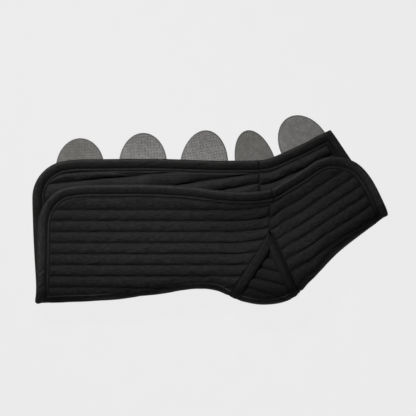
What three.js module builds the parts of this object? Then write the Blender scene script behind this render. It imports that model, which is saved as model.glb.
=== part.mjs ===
// Lower leg wrap, folded along the back of the leg and lying on its back flap.
// Sizes are millimetres. X runs from the calf end to the foot end, Y from the fold to the free edges, Z up.
import * as THREE from "three";

// Driving dimensions
const PAD = 8; // padded channel at its crown, face to face
const STITCH = 3; // panel pressed thin at a stitch line
const PITCH = 14.85; // from one stitch line to the next
const PRESSED = 0.5; // crown flattened where the wrap rests
const BINDING_WIDTH = 11.5;
const BINDING_PAD = 6.5;
const TAPE_WIDTH = 14;
const TAPE_PAD = 6.5;
const TAB_SHEET = 2; // hook tab, face to face
const TAB_LAP = 48; // length of a tab hidden under the back flap
const TAB_ZONE = 85; // strip of the back flap that the tabs lift, from its edge
const TAB_RAMP = 25; // width over which it rises
const GAP = 0.35; // clearance between neighbouring pieces
const FLAP_GAP = 0.7; // front flap above the back flap where it lies on it
const FIRST_LINE_Y = 16.5; // uppermost stitch line of the leg panel
const FOLD_START = [-235, -126]; // calf end of the leg's fold, taken as straight
const FOLD_SLOPE = 0.07; // rise of that fold over its length
const FOOT_CHANNELS = 16; // from the front binding round the sole to the back binding
const GUSSET_SLANT = 0.16; // gusset stitch lines drop towards the foot
const LEG_CORNERS = { front: { radius: 54 }, back: { radius: 48 } };
const FOOT_CORNERS = { front: { radius: 32 }, back: { radius: 16, square: true } };
const LEG_BOW = { front: 0, back: 3 }; // how far each flap's end edge bows out
const FOOT_BOW = { front: 4.5, back: 0 };

// Cross-sections from before the calf end to past the foot end: fold, front edge and back edge in plan,
// radius of the fold, and how far the front edge stands off the back flap.
const SECTIONS = [
  { fold: [-265, -126.5], front: [-264, 34], back: [-273, 68], radius: 14.5, lift: 0 },
  { fold: [-232.5, -124.5], front: [-231.5, 34], back: [-240.5, 68], radius: 14.5, lift: 0 },
  { fold: [-198.5, -123], front: [-198.5, 34], back: [-202, 68], radius: 15, lift: 0 },
  { fold: [-137, -120], front: [-137, 34], back: [-138.5, 68.5], radius: 15, lift: 0 },
  { fold: [-80.5, -113.5], front: [-80.5, 34], back: [-82, 69], radius: 15, lift: 1 },
  { fold: [-24, -104.5], front: [-24, 30.5], back: [-26.5, 67.5], radius: 15, lift: 5 },
  { fold: [8.5, -106.5], front: [11, 26], back: [3, 66.5], radius: 16, lift: 9 },
  { fold: [41, -120], front: [47.5, 24], back: [32.5, 66.5], radius: 18, lift: 9 },
  { fold: [72.5, -126], front: [84.5, 26], back: [64.5, 67], radius: 19, lift: 4 },
  { fold: [104.5, -118.5], front: [97.5, 31], back: [78.5, 69.5], radius: 18, lift: 1 },
  { fold: [135, -92.5], front: [115, 40.5], back: [96, 76.5], radius: 16, lift: 0 },
  { fold: [168, -58], front: [138.5, 55], back: [119, 87], radius: 14, lift: 0 },
  { fold: [201.5, -31.5], front: [162, 69], back: [140.5, 96.5], radius: 13, lift: 0 },
  { fold: [237.5, -5.5], front: [184.5, 81], back: [162.5, 106], radius: 12.5, lift: 0 },
  { fold: [255, 6.5], front: [196.5, 88.5], back: [173, 110.5], radius: 12.5, lift: 0 },
];
const SCAN = 800; // steps for finding where a row meets its shape
const SHORTEST = 24; // steps of the shortest row kept
const CALF_END = 1; // section numbers
const SEAM = 8;
const FOOT_END = 13;
const SEAM_HALF = 0.012; // half the clearance at the seam

// Heel gusset: reach of its points from the fold, rounding at the fold, length its points are blunted by,
// and half widths at the fold in section numbers
const GUSSET_REACH = 106;
const GUSSET_ROUND = 15;
const GUSSET_BLUNT = 3;
const GUSSET_LEG_SIDE = 1.5;
const GUSSET_FOOT_SIDE = 1.5;

// Hook tabs from the calf end: middle of the root at the flap edge, lean in degrees, half width, length shown
const TABS = [
  { x: -174.5, y: 67.5, lean: 3, half: 32, shown: 29 },
  { x: -92, y: 69, lean: 0, half: 32.5, shown: 34.5 },
  { x: -9.5, y: 67.5, lean: 1, half: 32.5, shown: 39 },
  { x: 58, y: 68, lean: -14, half: 27, shown: 39.5 },
  { x: 123, y: 90, lean: -18, half: 32.5, shown: 40 },
];

const { clamp, lerp, degToRad } = THREE.MathUtils;
const smooth = (t) => THREE.MathUtils.smoothstep(t, 0, 1);
const steps = (from, to, count) => Array.from({ length: count + 1 }, (_, i) => lerp(from, to, i / count));
const curve = (pick) => new THREE.CatmullRomCurve3(SECTIONS.map((row) => new THREE.Vector3(...pick(row), 0)));
const FOLD = curve((row) => row.fold);
const FRONT = curve((row) => row.front);
const BACK = curve((row) => row.back);
const LOFT = curve((row) => [row.radius, row.lift]);
const on = (path, s) => path.getPoint(s / (SECTIONS.length - 1));

// Cross-section at a section number: fold point, fold radius, directions and reaches of the two flaps.
function sectionAt(s) {
  const fold = on(FOLD, s);
  const toFront = on(FRONT, s).sub(fold);
  const toBack = on(BACK, s).sub(fold);
  const { x: radius, y: lift } = on(LOFT, s);
  const quarter = (Math.PI / 2) * radius;
  const taken = PAD / 2 + radius - quarter;
  const frontReach = toFront.length() - taken;
  const backReach = toBack.length() - taken;
  toFront.normalize();
  toBack.normalize();
  return { fold, radius, lift, quarter, taken, frontReach, backReach, toFront, toBack };
}

// Level that the back flap rests on: the floor, then the hook tabs near its free edge.
function restLevel(section, b) {
  const fromEdge = section.backReach + b;
  return (TAB_SHEET + GAP) * smooth((TAB_ZONE - fromEdge) / TAB_RAMP);
}

// Middle of the folded sheet: b runs along a section, from the back edge (negative) round the fold to the
// front edge.
function sheetPoint(s, b) {
  const section = sectionAt(s);
  const { radius, quarter, lift } = section;
  const turn = clamp(b / radius, -Math.PI / 2, Math.PI / 2);
  const past = Math.max(0, Math.abs(b) - quarter);
  const across = section.toBack.clone().lerp(section.toFront, (1 + Math.sin(turn)) / 2).normalize();
  const point = across.multiplyScalar(PAD / 2 + radius * (1 - Math.cos(turn)) + past).add(section.fold);
  const bed = PAD / 2 - PRESSED;
  point.z = bed + radius * (1 + Math.sin(turn));
  if (b > quarter) {
    const part = past / (section.frontReach - quarter);
    const lying = TAB_SHEET + GAP + bed + PAD + FLAP_GAP;
    point.z = lerp(point.z, lying, smooth(part / 0.8)) + lift * smooth(2 * part - 1);
  }
  if (b < -quarter) {
    point.z += restLevel(section, b);
  }
  return point;
}

// Point of the sheet with its two tangents and its outward normal.
function sheetFrame(s, b) {
  const point = sheetPoint(s, b);
  const along = sheetPoint(s + 0.01, b).sub(sheetPoint(s - 0.01, b)).multiplyScalar(50);
  const across = sheetPoint(s, b + 0.1).sub(sheetPoint(s, b - 0.1)).multiplyScalar(5);
  const normal = along.clone().cross(across).normalize();
  return { point, along, across, normal };
}

// Outer and inner face of the sheet at one spot, flattened where it rests.
function facesAt({ s, b }, thickness) {
  const { point, normal } = sheetFrame(s, b);
  const outer = point.clone().addScaledVector(normal, thickness / 2);
  const inner = point.addScaledVector(normal, -thickness / 2);
  const level = b < 0 ? restLevel(sectionAt(s), b) : 0;
  outer.z = Math.max(outer.z, level);
  return { outer, inner };
}

// Closed slab from a grid of outer and inner points.
function slab(grid) {
  const rows = grid.length;
  const columns = grid[0].length;
  const points = grid.flat().flatMap(({ outer, inner }) => [outer, inner]);
  const outerAt = (i, j) => 2 * (i * columns + j);
  const innerAt = (i, j) => outerAt(i, j) + 1;
  const index = [];
  const quad = (a, b, c, d) => index.push(a, b, c, a, c, d);
  for (let i = 0; i + 1 < rows; i += 1) {
    for (let j = 0; j + 1 < columns; j += 1) {
      quad(outerAt(i, j), outerAt(i, j + 1), outerAt(i + 1, j + 1), outerAt(i + 1, j));
      quad(innerAt(i, j), innerAt(i + 1, j), innerAt(i + 1, j + 1), innerAt(i, j + 1));
    }
    const last = columns - 1;
    quad(outerAt(i, 0), outerAt(i + 1, 0), innerAt(i + 1, 0), innerAt(i, 0));
    quad(outerAt(i, last), innerAt(i, last), innerAt(i + 1, last), outerAt(i + 1, last));
  }
  for (let j = 0; j + 1 < columns; j += 1) {
    const last = rows - 1;
    quad(outerAt(0, j), innerAt(0, j), innerAt(0, j + 1), outerAt(0, j + 1));
    quad(outerAt(last, j), outerAt(last, j + 1), innerAt(last, j + 1), innerAt(last, j));
  }
  if (signedVolume(points, index) < 0) {
    index.reverse();
  }
  return new THREE.BufferGeometry().setFromPoints(points).setIndex(index);
}

function signedVolume(points, index) {
  let six = 0;
  for (let i = 0; i < index.length; i += 3) {
    const normal = points[index[i + 1]].clone().cross(points[index[i + 2]]);
    six += points[index[i]].dot(normal);
  }
  return six / 6;
}

// Corner of an outline as shares of its radius along and across the edge.
function cornerBends(corner) {
  const angles = corner.square ? [] : steps(0, 90, 6).slice(1, -1).map(degToRad);
  const bends = angles.map((angle) => ({ along: 1 - Math.sin(angle), across: 1 - Math.cos(angle) }));
  return corner.square ? [{ along: 0, across: 0 }] : bends;
}

// Free edge of one end of the wrap, from the front seam round the end and the fold to the back seam.
function freeEdge(end, corners, bow) {
  const inward = Math.sign(SEAM - end);
  const start = SEAM - inward * SEAM_HALF;
  const { frontReach, backReach } = sectionAt(end);
  const cutAt = (radius, b) => radius / sheetFrame(end, b).along.length();
  const frontCut = cutAt(corners.front.radius, frontReach);
  const backCut = cutAt(corners.back.radius, -backReach);
  const frontAt = (s, down) => ({ s, b: sectionAt(s).frontReach - down });
  const backAt = (s, down) => ({ s, b: down - sectionAt(s).backReach });
  const endAt = (b) => {
    const [most, reach] = b > 0 ? [bow.front, frontReach] : [bow.back, backReach];
    const out = most * Math.sin((Math.PI * Math.abs(b)) / reach);
    return { s: end - inward * cutAt(out, b), b };
  };
  const frontRun = steps(start, end + inward * frontCut, 12).map((s) => frontAt(s, 0));
  const frontTurn = cornerBends(corners.front).map((bend) => {
    const spot = frontAt(end + inward * frontCut * bend.along, corners.front.radius * bend.across);
    return { s: spot.s + endAt(spot.b).s - end, b: spot.b };
  });
  const endRun = steps(frontReach - corners.front.radius, corners.back.radius - backReach, 24).map(endAt);
  const backTurn = cornerBends(corners.back).map((bend) => {
    const spot = backAt(end + inward * backCut * bend.along, corners.back.radius * bend.across);
    return { s: spot.s + endAt(spot.b).s - end, b: spot.b };
  });
  const backRun = steps(end + inward * backCut, start, 12).map((s) => backAt(s, 0));
  return [...frontRun, ...frontTurn, ...endRun, ...backTurn.reverse(), ...backRun];
}

// Side of the gusset from its front point round the fold to its back point.
function gussetSide(shift) {
  const rounded = (b) => Math.hypot(b, GUSSET_ROUND) - GUSSET_ROUND;
  const end = GUSSET_REACH - GUSSET_BLUNT;
  return steps(end, -end, 26).map((b) => ({ s: SEAM + shift(1 - rounded(b) / rounded(GUSSET_REACH)), b }));
}
const LEG_SIDE = gussetSide((share) => -GUSSET_LEG_SIDE * share);
const FOOT_SIDE = gussetSide((share) => GUSSET_FOOT_SIDE * Math.sqrt(share));

// Spot on the sheet a distance to one side of a path, mitred at its bends.
function beside(path, i, distance) {
  const here = path[i];
  const { along, across, normal } = sheetFrame(here.s, here.b);
  const sideOf = (from, to) => {
    const step = sheetPoint(to.s, to.b).sub(sheetPoint(from.s, from.b));
    return normal.clone().cross(step).normalize();
  };
  const before = i > 0 ? sideOf(path[i - 1], here) : sideOf(here, path[i + 1]);
  const after = i + 1 < path.length ? sideOf(here, path[i + 1]) : before;
  const offset = before.clone().add(after).multiplyScalar(distance / (1 + before.dot(after)));
  const [aa, ab, bb] = [along.dot(along), along.dot(across), across.dot(across)];
  const [oa, ob] = [offset.dot(along), offset.dot(across)];
  const whole = aa * bb - ab * ab;
  return { s: here.s + (oa * bb - ob * ab) / whole, b: here.b + (ob * aa - oa * ab) / whole };
}

// Whole path moved to one side. Ends at the seam stay on it.
function insetPath(path, distance, side) {
  return path.map((here, i) => {
    const isEnd = i === 0 || i === path.length - 1;
    if (isEnd && Math.abs(here.s - SEAM) <= SEAM_HALF) {
      return { s: here.s, b: here.b - Math.sign(here.b) * distance };
    }
    return beside(path, i, side * distance);
  });
}

// Padded strip beside a path, thin at its stitched edge and rounded at its free edge.
function strip(path, width, pad, side, keep = (spot) => spot) {
  const profile = [
    { part: 0, thickness: 0.45 },
    { part: 0.18, thickness: 0.9 },
    { part: 0.5, thickness: 1 },
    { part: 0.82, thickness: 0.9 },
    { part: 1, thickness: 0.45 },
  ];
  const inner = insetPath(path, width, side).map(keep);
  const grid = path.map((outer, i) =>
    profile.map(({ part, thickness }) => {
      const spot = { s: lerp(outer.s, inner[i].s, part), b: lerp(outer.b, inner[i].b, part) };
      return facesAt(spot, pad * thickness);
    }),
  );
  return slab(grid);
}

function isInside(shape, { s, b }) {
  let inside = false;
  shape.forEach((to, i) => {
    const from = shape.at(i - 1);
    const crosses = to.b > b !== from.b > b;
    if (crosses && s < from.s + ((to.s - from.s) * (b - from.b)) / (to.b - from.b)) {
      inside = !inside;
    }
  });
  return inside;
}

// Quilted sheet cut to a shape: rows run along the stitch lines, three to a channel, and swell between them.
function quilted(shape, lineAt, lines, columns) {
  const swell = (k) => (k < 0 ? 0 : Math.sqrt(Math.abs(Math.sin(Math.PI * k))));
  const spread = shape.map((spot) => spot.s);
  const scan = steps(Math.min(...spread), Math.max(...spread), SCAN);
  const grid = [];
  for (let third = Math.round(3 * lines.first); third <= 3 * lines.last; third += 1) {
    const k = third / 3;
    const held = scan.filter((s) => isInside(shape, { s, b: lineAt(s, k) }));
    if (held.length > SHORTEST) {
      const run = steps(held[0], held.at(-1), columns);
      grid.push(
        run.map((s, j) => {
          const ease = j === 0 || j === columns ? 0.45 : 1;
          return facesAt({ s, b: lineAt(s, k) }, STITCH + (PAD - STITCH) * swell(k) * ease);
        }),
      );
    }
  }
  return slab(grid);
}

// Stitch line k of the leg panel: beside the front binding, then level, then turned by the fold on the back.
function legLine(s, k) {
  const { fold, toFront, taken, frontReach } = sectionAt(s);
  const level = (FIRST_LINE_Y - PITCH * Math.max(k, 1) - fold.y) / toFront.y - taken;
  const straight = FOLD_START[1] + FOLD_SLOPE * (fold.x - FOLD_START[0]);
  const turned = level - 2 * (straight - fold.y) * smooth((k - 7) / 6);
  const brim = frontReach - BINDING_WIDTH - 3 * GAP;
  return lerp(brim, turned, clamp((k + 1 / 3) / (4 / 3), 0, 1));
}

// Stitch line k of the foot panel: beside the front edge, then round the sole, then beside the back edge.
function footLine(s, k) {
  const section = sectionAt(s);
  const run = (edge) => on(edge, FOOT_END).sub(on(edge, SEAM)).normalize();
  const slantFront = section.toFront.clone().cross(run(FRONT)).length();
  const slantBack = section.toBack.clone().cross(run(BACK)).length();
  const margin = BINDING_WIDTH + 3 * GAP;
  const fromFront = section.frontReach - (margin + PITCH * k) / slantFront;
  const fromBack = (margin + PITCH * (FOOT_CHANNELS - k)) / slantBack - section.backReach;
  return lerp(fromFront, fromBack, smooth((k - 5.5) / 5));
}

function gussetLine(s, k) {
  return PITCH * k * (1 - GUSSET_SLANT * (s - SEAM));
}

// Cut shapes of the two panels and the gusset
const LEG_EDGE = freeEdge(CALF_END, LEG_CORNERS, LEG_BOW);
const FOOT_EDGE = freeEdge(FOOT_END, FOOT_CORNERS, FOOT_BOW);
const LEG_SHAPE = [
  ...insetPath(LEG_EDGE, BINDING_WIDTH + 2 * GAP, 1),
  ...insetPath(LEG_SIDE, GAP, -1).reverse(),
];
const FOOT_SHAPE = [
  ...insetPath(FOOT_EDGE, BINDING_WIDTH + 2 * GAP, -1),
  ...insetPath(FOOT_SIDE, GAP, 1).reverse(),
];
const GUSSET_SHAPE = [
  ...insetPath(LEG_SIDE, TAPE_WIDTH + GAP, 1).filter((spot) => spot.s < SEAM - 0.1),
  ...insetPath(FOOT_SIDE, TAPE_WIDTH + GAP, -1).filter((spot) => spot.s > SEAM + 0.1).reverse(),
];

// The two tapes meet on the seam line near the gusset's points.
const beforeSeam = ({ s, b }) => ({ s: Math.min(s, SEAM - SEAM_HALF), b });
const pastSeam = ({ s, b }) => ({ s: Math.max(s, SEAM + SEAM_HALF), b });

// Hook tab lying on the floor, its root under the back flap and its end rounded.
function hookTab({ x, y, lean, half, shown }) {
  const round = 1.3 * half;
  const axis = new THREE.Vector3(Math.sin(degToRad(lean)), Math.cos(degToRad(lean)), 0);
  const side = new THREE.Vector3(axis.y, -axis.x, 0);
  const rows = [-TAB_LAP, ...steps(shown - round, shown, 9)];
  const grid = rows.map((reach) => {
    const run = clamp((reach - shown + round) / round, 0, 0.99);
    const width = half * Math.sqrt(1 - run * run);
    return steps(-width, width, 4).map((offset) => {
      const inner = new THREE.Vector3(x, y, 0).addScaledVector(axis, reach).addScaledVector(side, offset);
      const outer = inner.clone();
      outer.z = TAB_SHEET;
      return { outer, inner };
    });
  });
  return slab(grid);
}

const QUILT = new THREE.MeshStandardMaterial({ color: "#232221", roughness: 0.92, metalness: 0 });
const BAND = new THREE.MeshStandardMaterial({ color: "#2b2a29", roughness: 0.88, metalness: 0 });
const HOOK = new THREE.MeshStandardMaterial({ color: "#6d6c6a", roughness: 0.8, metalness: 0 });

const wrap = new THREE.Group();
function add(name, geometry, material) {
  const mesh = new THREE.Mesh(geometry, material);
  mesh.name = name;
  wrap.add(mesh);
}

add("leg_panel", quilted(LEG_SHAPE, legLine, { first: -1 / 3, last: 23.67 }, 16), QUILT);
add("foot_panel", quilted(FOOT_SHAPE, footLine, { first: 0, last: FOOT_CHANNELS }, 10), QUILT);
add("heel_gusset", quilted(GUSSET_SHAPE, gussetLine, { first: -6, last: 6 }, 4), QUILT);
add("gusset_tape_leg", strip(LEG_SIDE, TAPE_WIDTH, TAPE_PAD, 1, beforeSeam), BAND);
add("gusset_tape_foot", strip(FOOT_SIDE, TAPE_WIDTH, TAPE_PAD, -1, pastSeam), BAND);
add("leg_binding", strip(LEG_EDGE, BINDING_WIDTH, BINDING_PAD, 1), BAND);
add("foot_binding", strip(FOOT_EDGE, BINDING_WIDTH, BINDING_PAD, -1), BAND);
TABS.forEach((tab, i) => add(`hook_tab_${i + 1}`, hookTab(tab), HOOK));

// Frame origin under the middle of the wrap
const box = new THREE.Box3().setFromObject(wrap);
const middle = box.getCenter(new THREE.Vector3());
wrap.children.forEach((mesh) => mesh.geometry.translate(-middle.x, -middle.y, -box.min.z));

export default wrap;
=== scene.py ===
"""Lower leg wrap, folded flat: quilted panels, heel gusset, bindings, stitching and hook tabs."""

import logging
import math
from dataclasses import dataclass, replace
from enum import Enum
from functools import partial

import bpy
import numpy as np
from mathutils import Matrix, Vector


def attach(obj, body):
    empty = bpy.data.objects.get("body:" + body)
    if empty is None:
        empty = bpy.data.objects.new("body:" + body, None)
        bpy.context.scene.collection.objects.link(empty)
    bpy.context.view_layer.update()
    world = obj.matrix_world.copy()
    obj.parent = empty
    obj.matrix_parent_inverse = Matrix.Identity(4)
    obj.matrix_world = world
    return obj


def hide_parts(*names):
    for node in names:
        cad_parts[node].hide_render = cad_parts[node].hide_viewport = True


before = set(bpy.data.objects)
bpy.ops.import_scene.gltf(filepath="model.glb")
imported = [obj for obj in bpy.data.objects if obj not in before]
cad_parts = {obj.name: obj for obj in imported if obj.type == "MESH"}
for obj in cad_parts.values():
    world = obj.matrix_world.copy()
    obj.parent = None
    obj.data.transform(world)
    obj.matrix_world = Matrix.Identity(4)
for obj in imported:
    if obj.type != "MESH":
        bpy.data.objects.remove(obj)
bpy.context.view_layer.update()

MM = 0.001
SEED = 11
PHOTO_WIDTH_PX = 416
MM_PER_PX = 1.35
# The frame's origin in the drawing's own millimetres
DRAWING_MIDDLE = np.array([-2.163, 2.208, 0.0])
# Smallest divisor
TINY = 1e-9
# Channel numbers this close to a whole number lie on its stitch line
ON_LINE = 1e-6
# Random heights that a wave repeats after
WAVE_HEIGHTS = 512
# Points where a panel's row is first searched
SCAN_POINTS = 420
# Halvings that then find the row's ends
HALVINGS = 14
# Points where the row is measured
ROW_POINTS = 120
log = logging.getLogger("leg_wrap")


def smooth(t: np.ndarray) -> np.ndarray:
    """Returns t clamped to 0..1 and eased at both ends."""
    t = np.clip(t, 0.0, 1.0)
    return t * t * (3.0 - 2.0 * t)


def unit(v: np.ndarray) -> np.ndarray:
    """Returns vectors scaled to length one."""
    return v / np.maximum(np.linalg.norm(v, axis=-1, keepdims=True), TINY)


def lengths_along(points: np.ndarray) -> np.ndarray:
    """Lengths along a path of points, from 0 at its start."""
    step = np.linalg.norm(np.diff(points, axis=0), axis=1)
    return np.concatenate([[0.0], np.cumsum(step)])


def spline(knots: np.ndarray, s: np.ndarray) -> np.ndarray:
    """Reads a centripetal spline through evenly numbered knots.

    Args:
        knots: Knot values, one row per knot.
        s: Knot numbers to read at, with fractions.

    Returns:
        Values at s, with the knots' last axis added.
    """
    padded = np.vstack([2 * knots[0] - knots[1], knots, 2 * knots[-1] - knots[-2]])
    i = np.clip(np.floor(s).astype(int), 0, len(knots) - 2)
    w = (s - i)[..., None]
    p0, p1, p2, p3 = (padded[i + n] for n in range(4))
    pairs = ((p0, p1), (p1, p2), (p2, p3))
    d0, d1, d2 = (np.sqrt(np.linalg.norm(b - a, axis=-1, keepdims=True)) for a, b in pairs)
    same = 1e-4
    d1 = np.where(d1 < same, 1.0, d1)
    d0 = np.where(d0 < same, d1, d0)
    d2 = np.where(d2 < same, d1, d2)
    t1 = ((p1 - p0) / d0 - (p2 - p0) / (d0 + d1) + (p2 - p1) / d1) * d1
    t2 = ((p2 - p1) / d1 - (p3 - p1) / (d1 + d2) + (p3 - p2) / d2) * d1
    bend = -3 * p1 + 3 * p2 - 2 * t1 - t2
    twist = 2 * p1 - 2 * p2 + t1 + t2
    return p1 + w * (t1 + w * (bend + w * twist))


def wander(x: np.ndarray, step: float, seed: int) -> np.ndarray:
    """Smooth random wave along a length, between -1 and 1.

    Args:
        x: Positions along the length, in millimetres.
        step: Distance between the wave's own random heights, in millimetres.
        seed: Fixed seed of the random heights.

    Returns:
        Wave height at each position.
    """
    heights = np.random.default_rng(seed).uniform(-1.0, 1.0, WAVE_HEIGHTS)
    cell = np.floor(x / step).astype(int)
    t = smooth(x / step - cell)
    return heights[cell % WAVE_HEIGHTS] * (1 - t) + heights[(cell + 1) % WAVE_HEIGHTS] * t


@dataclass(frozen=True)
class Section:
    """Cross-section of the folded sheet, in drawing millimetres.

    Attributes:
        fold: Outer edge of the fold in plan.
        front: Front flap's free edge in plan.
        back: Back flap's free edge in plan.
        radius: Radius of the fold.
        lift: How far the front edge stands off the back flap.
    """

    fold: tuple[float, float]
    front: tuple[float, float]
    back: tuple[float, float]
    radius: float
    lift: float


# From before the calf end to past the foot end
SECTIONS = (
    Section((-265, -126.5), (-264, 34), (-273, 68), 14.5, 0),
    Section((-232.5, -124.5), (-231.5, 34), (-240.5, 68), 14.5, 0),
    Section((-198.5, -123), (-198.5, 34), (-202, 68), 15, 0),
    Section((-137, -120), (-137, 34), (-138.5, 68.5), 15, 0),
    Section((-80.5, -113.5), (-80.5, 34), (-82, 69), 15, 1),
    Section((-24, -105.8), (-24, 30.5), (-26.5, 67.5), 15, 5),
    Section((8.5, -107.8), (11, 26), (3, 66.5), 16, 9),
    Section((41, -121.2), (47.5, 24), (32.5, 66.5), 18, 9),
    Section((72.5, -126), (81, 28.4), (64.5, 67), 19, 4),
    Section((105.2, -119.2), (96.3, 37.4), (78.5, 69.5), 18, 1),
    Section((135.3, -92.8), (114.5, 48), (96, 76.5), 16, 0),
    Section((168, -58), (137.6, 63.4), (119, 87), 14, 0),
    Section((201.5, -31.5), (159.4, 77.8), (140, 97.7), 13, 0),
    Section((237.5, -5.5), (181.8, 92.6), (160.9, 108.4), 12.5, 0),
    Section((255, 6.5), (195, 101), (171, 113.3), 12.5, 0),
)
# Section numbers of the two ends and of the ankle seam
CALF_END = 1.0
SEAM = 8.0
FOOT_END = 13.0


@dataclass(frozen=True)
class Run:
    """Cross-sections read at many section numbers, in drawing millimetres.

    Attributes:
        fold: Outer edge of the fold in plan.
        to_front: Direction in plan from the fold to the front edge.
        to_back: Direction in plan from the fold to the back edge.
        radius: Radius of the fold.
        lift: How far the front edge stands off the back flap.
        quarter: Length of a quarter turn of the fold.
        taken: How much shorter a flap is in plan than along the sheet, as a negative length.
        front_reach: Length along the sheet from the middle of the fold to the front edge.
        back_reach: Length along the sheet from the middle of the fold to the back edge.
    """

    fold: np.ndarray
    to_front: np.ndarray
    to_back: np.ndarray
    radius: np.ndarray
    lift: np.ndarray
    quarter: np.ndarray
    taken: np.ndarray
    front_reach: np.ndarray
    back_reach: np.ndarray


@dataclass(frozen=True)
class FoldedSheet:
    """Middle surface of the folded wrap, and the levels that it rests on.

    A spot on it is a section number s and a length b along the section, from the back edge (negative)
    round the fold to the front edge.

    Attributes:
        pad: Thickness of the sheet in millimetres.
        pressed: How far the sheet is pressed into what it rests on.
        tab_lift: How far the hook tabs lift the back flap.
        tab_zone: Length from the back edge over which the tabs lift it.
        tab_ramp: Length over which that lift fades.
        flap_gap: Gap between the two flaps.
        settle: Share of the front flap over which it comes down on the back flap.
        solve_steps: Rounds that find the spot of a point on the sheet.
    """

    pad: float = 8.0
    pressed: float = 0.5
    tab_lift: float = 2.35
    tab_zone: float = 85.0
    tab_ramp: float = 25.0
    flap_gap: float = 0.7
    settle: float = 0.8
    solve_steps: int = 4

    def run(self, s: np.ndarray) -> Run:
        """Reads the cross-sections.

        Args:
            s: Section numbers.

        Returns:
            The cross-sections there.
        """
        fold = spline(np.array([row.fold for row in SECTIONS]), s)
        front = spline(np.array([row.front for row in SECTIONS]), s) - fold
        back = spline(np.array([row.back for row in SECTIONS]), s) - fold
        loft = spline(np.array([(row.radius, row.lift) for row in SECTIONS]), s)
        radius = loft[..., 0]
        quarter = radius * math.pi / 2
        taken = self.pad / 2 + radius - quarter
        front_reach = np.linalg.norm(front, axis=-1) - taken
        back_reach = np.linalg.norm(back, axis=-1) - taken
        return Run(
            fold, unit(front), unit(back), radius, loft[..., 1], quarter, taken, front_reach, back_reach
        )

    def bend(self, s: np.ndarray, b: np.ndarray) -> np.ndarray:
        """Share of the fold at a spot: 1 in the middle of its turn and 0 on the flaps."""
        turn = np.clip(b / self.run(s).radius, -math.pi / 2, math.pi / 2)
        return np.cos(turn) ** 1.5

    def rest(self, s: np.ndarray, b: np.ndarray) -> np.ndarray:
        """Level under the back flap at a spot: the floor, then the hook tabs near its free edge.

        Args:
            s: Section numbers.
            b: Lengths along the sections.

        Returns:
            Heights in millimetres.
        """
        run = self.run(s)
        from_edge = run.back_reach + b
        level = self.tab_lift * smooth((self.tab_zone - from_edge) / self.tab_ramp)
        return np.where(b < -run.quarter, level, 0.0)

    def point(self, s: np.ndarray, b: np.ndarray) -> np.ndarray:
        """Middle of the sheet at spots.

        Args:
            s: Section numbers.
            b: Lengths along the sections.

        Returns:
            Points in drawing millimetres.
        """
        run = self.run(s)
        turn = np.clip(b / run.radius, -math.pi / 2, math.pi / 2)
        past = np.maximum(0.0, np.abs(b) - run.quarter)
        share = ((1 + np.sin(turn)) / 2)[..., None]
        across = unit(run.to_back * (1 - share) + run.to_front * share)
        out = self.pad / 2 + run.radius * (1 - np.cos(turn)) + past
        plan = run.fold + across * out[..., None]
        bed = self.pad / 2 - self.pressed
        z = bed + run.radius * (1 + np.sin(turn))
        part = past / (run.front_reach - run.quarter)
        lying = self.tab_lift + bed + self.pad + self.flap_gap
        fall = smooth(part / self.settle)
        above = z * (1 - fall) + lying * fall + run.lift * smooth(2 * part - 1)
        z = np.where(b > run.quarter, above, z + self.rest(s, b))
        return np.concatenate([plan, z[..., None]], axis=-1)

    def tangents(self, s: np.ndarray, b: np.ndarray) -> tuple[np.ndarray, np.ndarray, np.ndarray]:
        """Slopes of the sheet at spots.

        Args:
            s: Section numbers.
            b: Lengths along the sections.

        Returns:
            Tangents along s and b, and the outward normal.
        """
        ds, db = 0.01, 0.1
        along = (self.point(s + ds, b) - self.point(s - ds, b)) * (0.5 / ds)
        across = (self.point(s, b + db) - self.point(s, b - db)) * (0.5 / db)
        return along, across, unit(np.cross(along, across))

    def faces(
        self, s: np.ndarray, b: np.ndarray, thickness: np.ndarray, sink: np.ndarray | None = None
    ) -> tuple[np.ndarray, np.ndarray]:
        """Outer and inner face at spots s, b, flattened where the wrap rests.

        Args:
            s: Section numbers.
            b: Lengths along the sections.
            thickness: Distance between the faces, in millimetres.
            sink: How far both faces lie inside the sheet, in millimetres, if at all.

        Returns:
            Outer and inner points, in drawing millimetres.
        """
        middle = self.point(s, b)
        normal = self.tangents(s, b)[2]
        if sink is not None:
            middle = middle - normal * sink[..., None]
        outer = middle + normal * (thickness / 2)[..., None]
        inner = middle - normal * (thickness / 2)[..., None]
        outer[..., 2] = np.maximum(outer[..., 2], self.rest(s, b))
        return outer, inner

    def beside(self, path: np.ndarray, distance: float) -> np.ndarray:
        """Moves a path of spots sideways on the sheet, mitred at its bends.

        Args:
            path: Spots s, b in order.
            distance: Millimetres to the left of the path, seen from outside.

        Returns:
            Moved spots.
        """
        s, b = path[:, 0], path[:, 1]
        normal = self.tangents(s, b)[2]
        step = np.diff(self.point(s, b), axis=0)
        before = unit(np.cross(normal, np.vstack([step[:1], step])))
        after = unit(np.cross(normal, np.vstack([step, step[-1:]])))
        offset = (before + after) * (distance / (1 + np.sum(before * after, axis=1)))[:, None]
        target = self.point(s, b) + offset
        for _ in range(self.solve_steps):
            along, across, _ = self.tangents(s, b)
            left = target - self.point(s, b)
            aa = np.sum(along * along, 1)
            ab = np.sum(along * across, 1)
            bb = np.sum(across * across, 1)
            la = np.sum(left * along, 1)
            lb = np.sum(left * across, 1)
            whole = aa * bb - ab * ab
            s = s + (la * bb - lb * ab) / whole
            b = b + (lb * aa - la * ab) / whole
        return np.stack([s, b], axis=1)


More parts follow.
